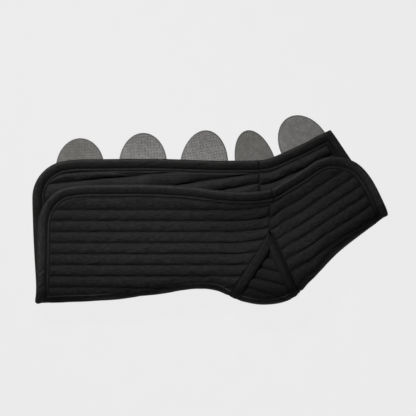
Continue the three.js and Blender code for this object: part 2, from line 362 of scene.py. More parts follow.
@dataclass(frozen=True)
class Corner:
    """Corner of a free edge.

    Attributes:
        radius: Length of the long edge that the corner takes, in millimetres.
        deeper: How much more of the end edge it takes.
        square: Whether the corner is square and only cleared by these lengths.
        points: Points round a corner, with its two ends.
    """

    radius: float
    deeper: float = 0.0
    square: bool = False
    points: int = 18

    @property
    def depth(self) -> float:
        """Length of the end edge that the corner takes."""
        return self.radius + self.deeper

    def bends(self) -> np.ndarray:
        """Shape of the corner between the long edge and the end edge.

        Returns:
            Shares of the two lengths that are left, along the long edge and across it.
        """
        if self.square:
            return np.zeros((1, 2))
        angle = np.linspace(0, math.pi / 2, self.points)[1:-1]
        return np.stack([1 - np.sin(angle), 1 - np.cos(angle)], axis=1)


@dataclass(frozen=True)
class FreeEdge:
    """Bound edge of one end of the wrap, from the front seam round the end and the fold to the back seam.

    Attributes:
        sheet: Sheet that the edge lies on.
        end: Section number of the end.
        front: Corner of the front flap.
        back: Corner of the back flap.
        front_bow: How far the front flap's end edge bows out, in millimetres.
        back_bow: How far the back flap's end edge bows out, in millimetres.
        flare: How far the end edge stands out at the fold, in millimetres.
        flare_width: Length from the fold over which that fades, in millimetres.
        seam_gap: Section numbers from the seam to the start of the long edges.
        long_points: Points along each long edge.
        end_points: Points along the end edge.
    """

    sheet: FoldedSheet
    end: float
    front: Corner
    back: Corner
    front_bow: float
    back_bow: float
    flare: float = 0.0
    flare_width: float = 20.0
    seam_gap: float = 0.025
    long_points: int = 110
    end_points: int = 110

    @property
    def inward(self) -> float:
        """Direction from the end to the seam in section numbers."""
        return math.copysign(1.0, SEAM - self.end)

    def stretch(self, b: np.ndarray) -> np.ndarray:
        """Millimetres per section number at the end."""
        along = self.sheet.tangents(np.full_like(b, self.end), b)[0]
        return np.linalg.norm(along, axis=-1)

    def bowed(self, b: np.ndarray) -> np.ndarray:
        """Bowed line of the end edge.

        Args:
            b: Lengths along the section.

        Returns:
            Section numbers there.
        """
        run = self.sheet.run(np.array([self.end]))
        most = np.where(b > 0, self.front_bow, self.back_bow)
        reach = np.where(b > 0, run.front_reach, run.back_reach)
        out = most * np.sin(math.pi * np.abs(b) / reach)
        out = out + self.flare * np.exp(-((b / self.flare_width) ** 2))
        return self.end - self.inward * out / self.stretch(b)

    def side(self, corner: Corner, sign: float) -> tuple[np.ndarray, np.ndarray]:
        """Long edge of one flap and its corner, from the seam to the end edge.

        Args:
            corner: The flap's corner.
            sign: 1 for the front flap, -1 for the back flap.

        Returns:
            Spots of the long edge and of the corner.
        """
        run = self.sheet.run(np.array([self.end]))
        reach = run.front_reach if sign > 0 else run.back_reach
        cut = corner.radius / self.stretch(sign * reach)[0]

        def edge(s: np.ndarray, down: np.ndarray) -> np.ndarray:
            """Finds spots below the flap's edge.

            Args:
                s: Section numbers.
                down: Distances from the edge in millimetres.

            Returns:
                Spots there.
            """
            here = self.sheet.run(s)
            far = here.front_reach if sign > 0 else here.back_reach
            return np.stack([s, sign * (far - down)], axis=1)

        start = SEAM + math.copysign(self.seam_gap, self.inward)
        long_s = np.linspace(start, self.end + self.inward * cut, self.long_points)
        bends = corner.bends()
        turn = edge(self.end + self.inward * cut * bends[:, 0], corner.depth * bends[:, 1])
        turn[:, 0] += self.bowed(turn[:, 1]) - self.end
        return edge(long_s, np.zeros_like(long_s)), turn

    def path(self) -> np.ndarray:
        """Joins the long edges, the corners and the end edge.

        Returns:
            Spots of the whole edge in order.
        """
        run = self.sheet.run(np.array([self.end]))
        front_long, front_turn = self.side(self.front, 1.0)
        back_long, back_turn = self.side(self.back, -1.0)
        start = run.front_reach[0] - self.front.depth
        b = np.linspace(start, self.back.depth - run.back_reach[0], self.end_points)
        end = np.stack([self.bowed(b), b], axis=1)
        return np.vstack([front_long, front_turn, end, back_turn[::-1], back_long[::-1]])

    def square_rows(self) -> tuple[int, ...]:
        """Numbers of the path's points at a square back corner."""
        front_long, front_turn = self.side(self.front, 1.0)
        return (len(front_long) + len(front_turn) + self.end_points,) if self.back.square else ()

    def inset(self, distance: float, past: float = 0.0) -> np.ndarray:
        """Spots a distance inside the edge, with both ends kept at the seam.

        Args:
            distance: Millimetres inside the edge.
            past: Section numbers by which both ends go past the seam.

        Returns:
            Spots in the edge's order.
        """
        path = self.path()
        moved = self.sheet.beside(path, self.inward * distance)
        for i in (0, -1):
            moved[i] = (path[i, 0] + past, path[i, 1] - math.copysign(distance, path[i, 1]))
        return moved


@dataclass(frozen=True)
class GussetCut:
    """Wedge cut for the heel gusset, its points on the seam and its middle on the fold, in millimetres.

    Attributes:
        sheet: Sheet that the cut lies on.
        reach: Length from the fold to each point.
        blunt: Length left off each point.
        rounding: Radius of the sides at the fold.
        leg_spread: Section numbers from the seam to the leg's side at the fold.
        foot_spread: Section numbers from the seam to the foot's side at the fold.
        foot_power: Power that keeps the foot's side straight where the sections fan out.
        points: Points along each side.
        tip_points: Points of a side that belong to each of its narrow points.
        seam_points: Points along each seam.
    """

    sheet: FoldedSheet
    reach: float = 106.0
    blunt: float = 0.4
    rounding: float = 15.0
    leg_spread: float = 1.5
    foot_spread: float = 1.43
    foot_power: float = 0.65
    points: int = 150
    tip_points: int = 14
    seam_points: int = 20

    def side(self, toward_foot: bool) -> np.ndarray:
        """Line of one side of the cut.

        Args:
            toward_foot: Whether it is the foot's side.

        Returns:
            Spots from the front point round the fold to the back point.
        """
        end = self.reach - self.blunt
        b = end * np.cos(np.linspace(0, math.pi, self.points))
        share = 1 - self.rounded(b) / self.rounded(np.array([self.reach]))
        shift = self.foot_spread * share**self.foot_power if toward_foot else -self.leg_spread * share
        return np.stack([SEAM + shift, b], axis=1)

    def rim(self, toward_foot: bool) -> np.ndarray:
        """Spots of one side without its narrow points."""
        return self.side(toward_foot)[self.tip_points : -self.tip_points]

    def rounded(self, b: np.ndarray) -> np.ndarray:
        """Lengths from the fold, eased near it."""
        return np.hypot(b, self.rounding) - self.rounding

    def seams(self, past: float) -> list[np.ndarray]:
        """Lines along the front and back seams.

        Args:
            past: Section numbers by which they lie past the seams.

        Returns:
            Spots of the two lines.
        """
        run = self.sheet.run(np.array([SEAM]))
        front = np.linspace(run.front_reach[0], self.reach, self.seam_points)
        back = np.linspace(-self.reach, -run.back_reach[0], self.seam_points)
        return [np.stack([np.full_like(b, SEAM + past), b], axis=1) for b in (front, back)]


def inside(shape: np.ndarray, spots: np.ndarray) -> np.ndarray:
    """Tells which spots lie inside a closed shape on the sheet.

    Args:
        shape: Spots of the shape in order.
        spots: Spots to test.

    Returns:
        True for each spot inside.
    """
    start, end = np.roll(shape, 1, axis=0), shape
    s, b = spots[:, :1], spots[:, 1:]
    crosses = (end[:, 1] > b) != (start[:, 1] > b)
    rise = np.where(end[:, 1] == start[:, 1], 1.0, end[:, 1] - start[:, 1])
    at = start[:, 0] + (end[:, 0] - start[:, 0]) * (b - start[:, 1]) / rise
    return np.sum(crosses & (s < at), axis=1) % 2 == 1


def distance_to(path: np.ndarray, points: np.ndarray) -> np.ndarray:
    """Distance from points to a path of straight pieces.

    Args:
        path: Path points in order.
        points: Points on any grid.

    Returns:
        Distances on the same grid.
    """
    flat = points.reshape(-1, 3)
    start, step = path[:-1], np.diff(path, axis=0)
    span = np.maximum(np.sum(step * step, axis=1), TINY)
    nearest = np.empty(len(flat))
    at_a_time = 2000
    for block in np.array_split(np.arange(len(flat)), max(1, len(flat) // at_a_time)):
        away = flat[block, None] - start
        t = np.clip(np.sum(away * step, axis=2) / span, 0, 1)
        nearest[block] = np.min(np.linalg.norm(away - t[..., None] * step, axis=2), axis=1)
    return nearest.reshape(points.shape[:-1])


def arc(x: np.ndarray) -> np.ndarray:
    """Quarter-round rise from nearly 0 to 1."""
    lowest = 1e-4
    return np.sqrt(np.maximum(lowest, 1 - (1 - np.clip(x, 0, 1)) ** 2))


def in_frame(points: np.ndarray) -> list[list[float]]:
    """Points in drawing millimetres as frame coordinates in metres."""
    return ((points - DRAWING_MIDDLE) * MM).tolist()


def add_object(name: str, data: bpy.types.ID) -> bpy.types.Object:
    """Makes an object and puts it in the scene.

    Args:
        name: Object name.
        data: Its mesh, light or camera.

    Returns:
        The new object.
    """
    made = bpy.data.objects.new(name, data)
    bpy.context.scene.collection.objects.link(made)
    return made


@dataclass
class Slab:
    """Closed cloth slab over a grid of spots.

    Attributes:
        outer: Outer face in drawing millimetres, rows by columns.
        inner: Inner face on the same grid.
        along: Lengths along and across the cloth in millimetres, for its texture coordinates.
        tone: Value from 0 to 1 at each spot that the material reads, such as how far the cloth swells, from
            which the knit's material paints shade into the thin grooves.
    """

    outer: np.ndarray
    inner: np.ndarray
    along: np.ndarray
    tone: np.ndarray

    def quads(self) -> np.ndarray:
        """Joins the two grids into a closed shell.

        Returns:
            Corner numbers of all faces, outer grid first, turned outward.
        """
        rows, columns = self.tone.shape
        top = np.arange(rows * columns).reshape(rows, columns)
        low = top + rows * columns

        def wall(a: np.ndarray, b: np.ndarray) -> np.ndarray:
            """Faces between two rims of the same length."""
            return np.stack([a[:-1], b[:-1], b[1:], a[1:]], axis=1)

        cells = [top[:-1, :-1], top[1:, :-1], top[1:, 1:], top[:-1, 1:]]
        face = np.stack(cells, axis=2).reshape(-1, 4)
        back = (face + rows * columns)[:, ::-1]
        rims = [
            wall(top[0], low[0])[:, ::-1],
            wall(top[-1], low[-1]),
            wall(top[:, 0], low[:, 0]),
            wall(top[:, -1], low[:, -1])[:, ::-1],
        ]
        quads = np.vstack([face, back, *rims])
        points = np.vstack([self.outer.reshape(-1, 3), self.inner.reshape(-1, 3)])
        a, b, c, d = (points[quads[:, n]] for n in range(4))
        volume = np.sum(a * (np.cross(b, c) + np.cross(c, d)))
        return quads if volume > 0 else quads[:, ::-1]

    def build(self, name: str) -> bpy.types.Object:
        """Makes the mesh object with texture coordinates in metres and the tone and lining attributes.

        Args:
            name: Piece name.

        Returns:
            The new piece.
        """
        points = np.vstack([self.outer.reshape(-1, 3), self.inner.reshape(-1, 3)])
        quads = self.quads()
        mesh = bpy.data.meshes.new(name)
        mesh.from_pydata(in_frame(points), [], quads.tolist())
        mesh.polygons.foreach_set("use_smooth", np.ones(len(quads), bool))
        corner = quads.ravel()
        lengths = np.vstack([self.along.reshape(-1, 2)] * 2) * MM
        mesh.uv_layers.new(name="cloth").data.foreach_set("uv", lengths[corner].ravel())
        tone = mesh.attributes.new("tone", "FLOAT", "POINT")
        tone.data.foreach_set("value", np.tile(self.tone.ravel(), 2))
        lining = mesh.attributes.new("lining", "FLOAT", "POINT")
        lining.data.foreach_set("value", np.repeat([0.0, 1.0], self.tone.size))
        return add_object(name, mesh)


def freeze(piece: bpy.types.Object) -> None:
    """Turns a piece with modifiers into a plain mesh.

    Args:
        piece: Piece to turn.
    """
    view = bpy.context.evaluated_depsgraph_get()
    mesh = bpy.data.meshes.new_from_object(piece.evaluated_get(view), depsgraph=view)
    piece.modifiers.clear()
    old = piece.data
    piece.data = mesh
    mesh.name = piece.name
    bpy.data.meshes.remove(old)


def subdivide(piece: bpy.types.Object, sharp: np.ndarray, sharpness: float = 0.85) -> None:
    """Smooths a slab by one subdivision and keeps marked rows sharp.

    Args:
        piece: Slab made over a grid of spots.
        sharp: Marks of the grid's spots on rows that stay sharp.
        sharpness: Crease weight of those rows, from 0 to 1.
    """
    rows, columns = sharp.shape
    row = np.tile(np.repeat(np.arange(rows), columns), 2)
    marked = np.tile(sharp.ravel(), 2)
    ends = np.empty(len(piece.data.edges) * 2, int)
    piece.data.edges.foreach_get("vertices", ends)
    start, end = ends.reshape(-1, 2).T
    creased = marked[start] & marked[end] & (row[start] == row[end])
    crease = piece.data.attributes.new("crease_edge", "FLOAT", "EDGE")
    crease.data.foreach_set("value", np.where(creased, sharpness, 0.0))
    finer = piece.modifiers.new("finer", "SUBSURF")
    finer.levels = 1
    finer.render_levels = 1
    freeze(piece)


@dataclass(frozen=True)
class Stuffing:
    """Cloth simulation that lets the wadding push the cloth out between the stitch lines.

    Attributes:
        pressure: Pressure of the wadding.
        slack: Share by which the cloth is cut larger than its place, so that it puckers.
        frames: Frames simulated.
        most: Furthest that a point may move, in millimetres.
        bed: Height over the floor under which no point sinks further, in millimetres.
        quality: Steps to a frame.
        mass: Mass of each point in kilograms.
        stretch: Stiffness of the cloth against stretching and squeezing.
        shear: Stiffness against shear.
        bending: Stiffness against bending.
    """

    pressure: float = 3.0
    slack: float = 0.012
    frames: int = 14
    most: float = 1.1
    bed: float = 2.4
    quality: int = 4
    mass: float = 0.2
    stretch: float = 12.0
    shear: float = 6.0
    bending: float = 0.4

    def fill(self, piece: bpy.types.Object, held: np.ndarray) -> None:
        """Runs the simulation on a piece and keeps the result as its shape.

        Args:
            piece: Closed cloth slab.
            held: Numbers of the points that the stitching holds still.
        """
        group = piece.vertex_groups.new(name="held")
        group.add(held.tolist(), 1.0, "REPLACE")
        cloth = piece.modifiers.new("stuffing", "CLOTH")
        rules = cloth.settings
        rules.quality = self.quality
        rules.mass = self.mass
        rules.tension_stiffness = self.stretch
        rules.compression_stiffness = self.stretch
        rules.shear_stiffness = self.shear
        rules.bending_stiffness = self.bending
        rules.vertex_group_mass = "held"
        rules.use_pressure = True
        rules.uniform_pressure_force = self.pressure
        rules.shrink_min = -self.slack
        rules.effector_weights.gravity = 0
        cloth.collision_settings.use_collision = False
        cloth.point_cache.frame_start = 1
        cloth.point_cache.frame_end = self.frames
        scene = bpy.context.scene
        for number in range(1, self.frames + 1):
            scene.frame_set(number)
        count = len(piece.data.vertices)
        before = np.empty(count * 3)
        piece.data.vertices.foreach_get("co", before)
        view = bpy.context.evaluated_depsgraph_get()
        after = np.empty(count * 3)
        piece.evaluated_get(view).data.vertices.foreach_get("co", after)
        move = (after - before).reshape(-1, 3)
        length = np.linalg.norm(move, axis=1, keepdims=True)
        move *= np.minimum(1.0, self.most * MM / np.maximum(length, TINY))
        first = before.reshape(-1, 3)
        settled = first + move
        piece.modifiers.remove(cloth)
        piece.vertex_groups.remove(group)
        settled[:, 2] = np.maximum(settled[:, 2], np.minimum(first[:, 2], self.bed * MM))
        piece.data.vertices.foreach_set("co", settled.ravel())
        scene.frame_set(1)


@dataclass
class QuiltedPanel:
    """Padded sheet stitched through along lines, swelling into channels between them.

    Attributes:
        name: CAD node name, which the piece's name starts with.
        sheet: Sheet that the panel lies on.
        gusset: Cut that ends the panel at the heel.
        pitch: Distance between stitch lines, in millimetres.
        thin: Thickness at a stitch line.
        swell: Thickness added at the middle of a channel.
        groove: Half width of the sharp groove that the stitching pulls in.
        hem: Distance from the free edge to where the panel ends under its binding.
        margin: Distance from the free edge to the binding's inner stitch line.
        sink: How far the panel lies inside the sheet where it isn't folded.
        sink_ramp: Length from the fold over which it sinks.
        hair: How far the cut shape lies outside the hem's line, so that its rows reach it.
        column: Length between columns.
        uneven: Share by which the wadding is uneven along a channel, and the step of that wave.
        pucker: Share by which the cloth puckers at the stitches, and the step of that wave.
        arched: Share of the swelling that is an arch; the rest is flat between the grooves.
        fold_full: Least share of the swelling at the fold, where the cloth is stretched smooth.
        fold_ease: Least share of the swelling left at the fold beside the panel's rims.
        back_plump: Share by which the back flap swells more, and the length past the fold where that starts.
        still: Share of the swelling beside a rim under which the cloth is held still.
        bare: Share of the swelling beside a rim under which a stitch line has no stitches.
        creased: Whether a painted highlight line is drawn beside the fold, standing in for a pressed crease.
    """

    name: str
    sheet: FoldedSheet
    gusset: GussetCut
    pitch: float = 14.85
    thin: float = 2.4
    swell: float = 5.2
    groove: float = 1.5
    hem: float = 13.5
    margin: float = 14.9
    sink: float = 0.0
    sink_ramp: float = 70.0
    hair: float = 0.02
    column: float = 6.2
    uneven: tuple[float, float] = (0.06, 46.0)
    pucker: tuple[float, float] = (0.08, 6.5)
    arched: float = 0.55
    fold_full: float = 0.98
    fold_ease: float = 0.75
    back_plump: tuple[float, float] = (0.2, 40.0)
    still: float = 0.3
    bare: float = 0.4
    creased: bool = True

    def shape(self) -> np.ndarray:
        """Closed cut shape of the panel as spots."""
        raise NotImplementedError

    def line(self, s: np.ndarray, k: float) -> np.ndarray:
        """Lengths b of the line at channel number k, at section numbers s."""
        raise NotImplementedError

    def span(self) -> tuple[int, int]:
        """First and last stitch line."""
        raise NotImplementedError

    def rims(self) -> list[tuple[np.ndarray, float, float]]:
        """Paths of spots where the panel thins, how far in, and over which length, in millimetres."""
        raise NotImplementedError

    def levels(self) -> list[float]:
        """Lays out the rows, close together beside each stitch line.

        Returns:
            Channel numbers of the rows.
        """
        first, last = self.span()
        parts = (0.0, 0.06, 0.16, 0.33, 0.5, 0.67, 0.84, 0.94)
        inner = [number + part for number in range(first, last) for part in parts]
        spare = (self.margin - self.hem) / self.pitch
        return [first - spare, *inner, float(last), last + spare]

    def run_of(self, k: float, shape: np.ndarray) -> np.ndarray | None:
        """Finds where a row lies inside the panel's shape.

        Args:
            k: Channel number of the row.
            shape: Closed cut shape as spots.

        Returns:
            Section numbers of its two ends, or None where it has none.
        """
        scan = np.linspace(shape[:, 0].min(), shape[:, 0].max(), SCAN_POINTS)

        def held(s: np.ndarray) -> np.ndarray:
            """Tells where the row lies inside the shape."""
            return inside(shape, np.stack([s, self.line(s, k)], axis=1))

        found = np.flatnonzero(held(scan))
        if len(found) < 3:
            return None
        kept = scan[[found[0], found[-1]]]
        lost = scan[[max(0, found[0] - 1), min(len(scan) - 1, found[-1] + 1)]]
        for _ in range(HALVINGS):
            middle = (kept + lost) / 2
            is_in = held(middle)
            kept, lost = np.where(is_in, middle, kept), np.where(is_in, lost, middle)
        return kept

    def spots(self) -> tuple[np.ndarray, np.ndarray, np.ndarray, np.ndarray]:
        """Grid of the panel's spots.

        Returns:
            Section numbers, lengths b, channel numbers and lengths along each row.
        """
        shape = self.shape()
        # Columns close to a row's ends, which draw closer still in a row shorter than the full length
        close = np.array([0, 1.4, 3.2, 5.6, 9.0])
        full_length = 45.0
        rows = []
        for k in self.levels():
            ends = self.run_of(k, shape)
            if ends is not None:
                s = np.linspace(ends[0], ends[1], ROW_POINTS)
                rows.append((k, s, lengths_along(self.sheet.point(s, self.line(s, k)))))
        count = max(5, round(max(length[-1] for _, _, length in rows) / self.column))
        grid = []
        for k, s, length in rows:
            whole = length[-1]
            near = close * min(1.0, whole / full_length)
            middle = np.linspace(near[-1], whole - near[-1], count)[1:-1]
            x = np.concatenate([near, middle, whole - near[::-1]])
            at = np.interp(x, length, s)
            grid.append((at, self.line(at, k), np.full_like(at, k), x - whole / 2))
        s, b, k, x = (np.array(part) for part in zip(*grid))
        return s, b, k, x

    def grain(self, s: np.ndarray, k: np.ndarray) -> np.ndarray:
        """Lengths along and across the channels at the panel's spots, in millimetres.

        Args:
            s: Section numbers.
            k: Channel numbers.

        Returns:
            Pairs of lengths.
        """
        stops = np.linspace(s.min(), s.max(), ROW_POINTS // 2)
        halfway = self.sheet.point(stops, np.full_like(stops, self.gusset.reach / 2))
        return np.stack([np.interp(s, stops, lengths_along(halfway)), k * self.pitch], axis=2)

    def room(self, s: np.ndarray, k: np.ndarray) -> np.ndarray:
        """Finds how much of the swelling fits each channel's width.

        Args:
            s: Section numbers.
            k: Channel numbers.

        Returns:
            Shares at the panel's spots.
        """
        least, power = 0.3, 0.7
        share = np.empty_like(s)
        for i, number in enumerate(np.floor(k[:, 0] + ON_LINE)):
            width = self.line(s[i], number) - self.line(s[i], number + 1)
            share[i] = np.clip(width / self.pitch, least, 1.0) ** power
        return share

    def ease(self, middle: np.ndarray) -> np.ndarray:
        """Finds how much of the swelling is left beside the panel's rims.

        Args:
            middle: Points of the sheet in drawing millimetres.

        Returns:
            Shares at those points.
        """
        share = np.ones(middle.shape[:-1])
        for path, inset, length in self.rims():
            away = distance_to(self.sheet.point(path[:, 0], path[:, 1]), middle)
            share = np.minimum(share, arc((away - inset) / length))
        return share

    def fullness(self, k: np.ndarray, x: np.ndarray) -> np.ndarray:
        """Shapes the swelling across each channel: an arch with sharp grooves at the stitch lines.

        Args:
            k: Channel numbers.
            x: Lengths along the channels.

        Returns:
            Shares of the swelling, 0 outside the first and last stitch line.
        """
        first, last = self.span()
        number = np.floor(k + ON_LINE)
        away = np.abs(k - np.round(k))
        pulled = 1 - np.exp(-away * self.pitch / self.groove)
        arch = np.sin(math.pi * away)
        # Each channel reads the waves at a place of its own
        uneven = 1 + self.uneven[0] * wander(x + 83 * number, self.uneven[1], SEED)
        pucker = 1 + self.pucker[0] * wander(x + 57 * number, self.pucker[1], SEED + 1) * (1 - arch)
        full = ((1 - self.arched) * pulled + self.arched * arch) * uneven * pucker
        return np.where((k < first) | (k > last), 0.0, full)

    def build(self, stuffing: Stuffing) -> tuple[bpy.types.Object, list[np.ndarray]]:
        """Makes the panel's mesh.

        Args:
            stuffing: Simulation that fills the channels.

        Returns:
            The panel, and the paths of its stitch lines in drawing millimetres.
        """
        s, b, k, x = self.spots()
        bent = self.sheet.bend(s, b)
        ease = np.maximum(self.ease(self.sheet.point(s, b)), self.fold_ease * bent)
        full = self.fullness(k, x) * self.room(s, k)
        full = full + (np.maximum(full, self.fold_full) - full) * bent
        plump = 1 + self.back_plump[0] * smooth(-b / self.back_plump[1] - 1)
        sunk = self.sink * smooth(np.abs(b) / self.sink_ramp) * ease
        outer, inner = self.sheet.faces(s, b, self.thin + self.swell * full * ease * plump, sunk)
        # The tone is the swelling, from which the knit's material paints shade into the stitched grooves
        piece = Slab(outer, inner, self.grain(s, k), full * ease).build(f"{self.name}_cloth")
        # The fold's lengths let the material paint a highlight line beside it
        if self.creased:
            fold = piece.data.attributes.new("fold", "FLOAT", "POINT")
            fold.data.foreach_set("value", np.tile(b.ravel() * MM, 2))
        stitched = np.abs(k - np.round(k)) < ON_LINE
        edge = np.zeros(s.shape, bool)
        edge[[0, -1]] = True
        edge[:, [0, -1]] = True
        still = np.flatnonzero(edge | stitched | (ease < self.still))
        stuffing.fill(piece, np.concatenate([still, still + s.size]))
        subdivide(piece, stitched)
        paths = []
        for i in np.flatnonzero(stitched[:, 0]):
            shown = ease[i] > self.bare
            if np.sum(shown) > 3:
                paths += [outer[i][shown], inner[i][shown]]
        return piece, paths


@dataclass
class FlapPanel(QuiltedPanel):
    """Quilted panel between a free edge of the wrap and its own side of the gusset's cut.

    Attributes:
        edge: Free edge of the panel's end.
        toward_foot: Whether the panel is the foot's.
        under_tape: How far the panel reaches under the gusset's tape, in millimetres.
        seam_past: Section numbers by which the panel's ends go past the ankle seam.
        seam_lap: Length of the seam beside the gusset's points that the panel doesn't go past.
        hem_rim: Length over which the panel thins at its hem.
        seam_rim: How far from the seam, and over which length, the panel thins.
        tape_rim: How far from the gusset's tape, and over which length, the panel thins.
    """

    edge: FreeEdge | None = None
    toward_foot: bool = False
    under_tape: float = 0.0
    seam_past: float = 0.0
    seam_lap: float = 7.0
    hem_rim: float = 3.6
    seam_rim: tuple[float, float] = (0.0, 0.0)
    tape_rim: tuple[float, float] = (0.0, 0.0)

    def shape(self) -> np.ndarray:
        """Joins the free edge, the ankle seam and the gusset's cut.

        Returns:
            Spots of the panel's closed cut shape.
        """
        edge = self.edge.inset(self.hem - self.hair, past=self.seam_past)
        under = -self.under_tape if self.toward_foot else self.under_tape
        cut = self.sheet.beside(self.gusset.side(self.toward_foot), under)[::-1]
        ends = cut[[0, -1], 1] + np.array([-self.seam_lap, self.seam_lap])
        lap = np.stack([edge[[-1, 0], 0], ends], axis=1)
        return np.vstack([edge, lap[:1], cut, lap[1:]])

    def rims(self) -> list[tuple[np.ndarray, float, float]]:
        """Lists where the panel thins: at its hem, at the gusset's tape and at the ankle seam.

        Returns:
            Paths of spots, how far in from them, and over which length, in millimetres.
        """
        hem = (self.edge.inset(self.hem), self.margin - self.hem, self.hem_rim)
        tape = (self.gusset.rim(self.toward_foot), *self.tape_rim)
        return [hem, tape, *((path, *self.seam_rim) for path in self.gusset.seams(self.seam_past))]


@dataclass
class LegPanel(FlapPanel):
    """Calf part, its channels level on the front flap and slanting on the back flap.

    Attributes:
        last_line: Number of the last stitch line.
        first_line: Drawing height of the first level stitch line.
        back_line: Number of the first stitch line inside the back edge.
        back_height: Drawing height of that line where x is 0, and its step to the next line.
        back_slope: Slope of that line, and its step to the next line.
        level_line: Number of the last level stitch line.
        turn_lines: Lines past it over which they turn to the slant.
        rise: How far the front lines rise at the ankle seam.
        rise_from: Section number where that rise starts.
        rise_lines: Lines before the last level one over which the rise fades.
    """

    under_tape: float = 0.4
    seam_past: float = 0.12
    seam_rim: tuple[float, float] = (2.4, 4.0)
    tape_rim: tuple[float, float] = (-1.0, 4.5)
    last_line: int = 24
    first_line: float = 16.5
    back_line: int = 21
    back_height: tuple[float, float] = (58.5, -16.6)
    back_slope: tuple[float, float] = (0.102, 0.044)
    level_line: int = 8
    turn_lines: int = 10
    rise: float = 6.5
    rise_from: float = 6.2
    rise_lines: int = 4

    def span(self) -> tuple[int, int]:
        """First and last stitch line."""
        return 0, self.last_line

    def line(self, s: np.ndarray, k: float) -> np.ndarray:
        """Runs a line along the calf, level in front and slanting at the back.

        Args:
            s: Section numbers.
            k: Channel number of the line.

        Returns:
            Lengths b of the line there.
        """
        run = self.sheet.run(s)
        fold_x, fold_y = run.fold[..., 0], run.fold[..., 1]
        near_seam = np.clip((s - self.rise_from) / (SEAM - self.rise_from), 0, 1) ** 2
        lift = self.rise * near_seam * smooth(np.array((self.level_line - k) / self.rise_lines))
        height = self.first_line + lift - self.pitch * max(k, 1.0)
        level = (height - fold_y) / run.to_front[..., 1] - run.taken
        inward = self.back_line - k
        slope = self.back_slope[0] + self.back_slope[1] * inward
        at_fold = self.back_height[0] + self.back_height[1] * inward + slope * fold_x
        slanted = run.taken - (at_fold - fold_y) / (run.to_back[..., 1] - slope * run.to_back[..., 0])
        turned = level + (slanted - level) * smooth(np.array((k - self.level_line) / self.turn_lines))
        brim = run.front_reach - self.margin
        if k < 0:
            return brim - k * self.pitch
        return brim + (turned - brim) * min(1.0, k)


@dataclass
class FootPanel(FlapPanel):
    """Foot part, its channels beside the front edge and round the sole to the back edge.

    Attributes:
        channels: Channels from the front hem to the back hem.
        turn_from: Line after which they leave the front edge's direction.
        turn_lines: Lines over which they take the back edge's direction.
    """

    toward_foot: bool = True
    under_tape: float = 0.2
    seam_past: float = -0.05
    seam_rim: tuple[float, float] = (0.8, 4.0)
    tape_rim: tuple[float, float] = (0.8, 2.6)
    channels: int = 16
    turn_from: float = 5.5
    turn_lines: float = 5.0

    def span(self) -> tuple[int, int]:
        """First and last stitch line."""
        return 0, self.channels

    def line(self, s: np.ndarray, k: float) -> np.ndarray:
        """Runs a line along the foot, beside its nearer long edge.

        Args:
            s: Section numbers.
            k: Channel number of the line.

        Returns:
            Lengths b of the line there.
        """
        run = self.sheet.run(s)
        done = self.pitch * k
        left = self.pitch * (self.channels - k)
        from_front = run.front_reach - (self.margin + done) / self.slant(run.to_front, front=True)
        from_back = (self.margin + left) / self.slant(run.to_back, front=False) - run.back_reach
        turn = smooth(np.array((k - self.turn_from) / self.turn_lines))
        return from_front + (from_back - from_front) * turn

    def slant(self, across: np.ndarray, front: bool) -> np.ndarray:
        """Finds how square the sections stand to a flap's long edge.

        Args:
            across: Directions of the sections in plan.
            front: Whether it is the front flap.

        Returns:
            Sines of the angles between them.
        """
        knots = np.array([row.front if front else row.back for row in SECTIONS])
        edge = unit(knots[int(FOOT_END)] - knots[int(SEAM)])
        return np.abs(across[..., 0] * edge[1] - across[..., 1] * edge[0])


@dataclass
class HeelGusset(QuiltedPanel):
    """Quilted wedge round the heel, its channels slanting straight across it on both flaps.

    Attributes:
        tape: Width of the tapes along its sides.
        lap: Width hidden under each tape.
        first_line: Drawing position of the first stitch line past the fold.
        step: Height between stitch lines.
        fall: How far a line falls for each unit to the right.
        lines: Stitch lines on each flap.
        tip_gap: Section numbers from the seam within which the wedge's narrow points are left off.
        side_rim: How far from the tapes, and over which length, the panel thins.
    """

    tape: float = 14.0
    lap: float = 3.0
    first_line: tuple[float, float] = (76.5, -110.1)
    step: float = 16.2
    fall: float = 0.27
    lines: int = 7
    tip_gap: float = 0.06
    side_rim: tuple[float, float] = (0.4, 6.0)

    def span(self) -> tuple[int, int]:
        """First and last stitch line."""
        return -self.lines, self.lines

    def sides(self) -> tuple[np.ndarray, np.ndarray]:
        """Finds the panel's two sides, which the tapes hide.

        Returns:
            Spots of the leg's side and of the foot's side.
        """
        leg = self.sheet.beside(self.gusset.side(toward_foot=False), self.tape - self.lap)
        foot = self.sheet.beside(self.gusset.side(toward_foot=True), self.lap - self.tape)
        return leg[leg[:, 0] < SEAM - self.tip_gap], foot[foot[:, 0] > SEAM + self.tip_gap]

    def shape(self) -> np.ndarray:
        """Closed cut shape of the panel as spots."""
        leg, foot = self.sides()
        return np.vstack([leg, foot[::-1]])

    def line(self, s: np.ndarray, k: float) -> np.ndarray:
        """Runs a line straight across the wedge in plan.

        Args:
            s: Section numbers.
            k: Channel number of the line, negative on the front flap.

        Returns:
            Lengths b of the line there.
        """
        run = self.sheet.run(s)
        number = max(abs(k), 1.0)
        x, y = self.first_line[0], self.first_line[1] + self.step * (number - 1)
        gap = y - run.fold[..., 1] + self.fall * (x - run.fold[..., 0])
        reach = gap / (run.to_front[..., 1] + self.fall * run.to_front[..., 0])
        rolled = np.clip(1 - (reach - self.sheet.pad / 2) / run.radius, 0, 1)
        past = np.maximum(0.0, reach - self.sheet.pad / 2 - run.radius)
        return -math.copysign(min(1.0, abs(k)), k) * (run.radius * np.arccos(rolled) + past)

    def rims(self) -> list[tuple[np.ndarray, float, float]]:
        """Paths of spots where the panel thins, how far in, and over which length, in millimetres."""
        return [(side, *self.side_rim) for side in self.sides()]


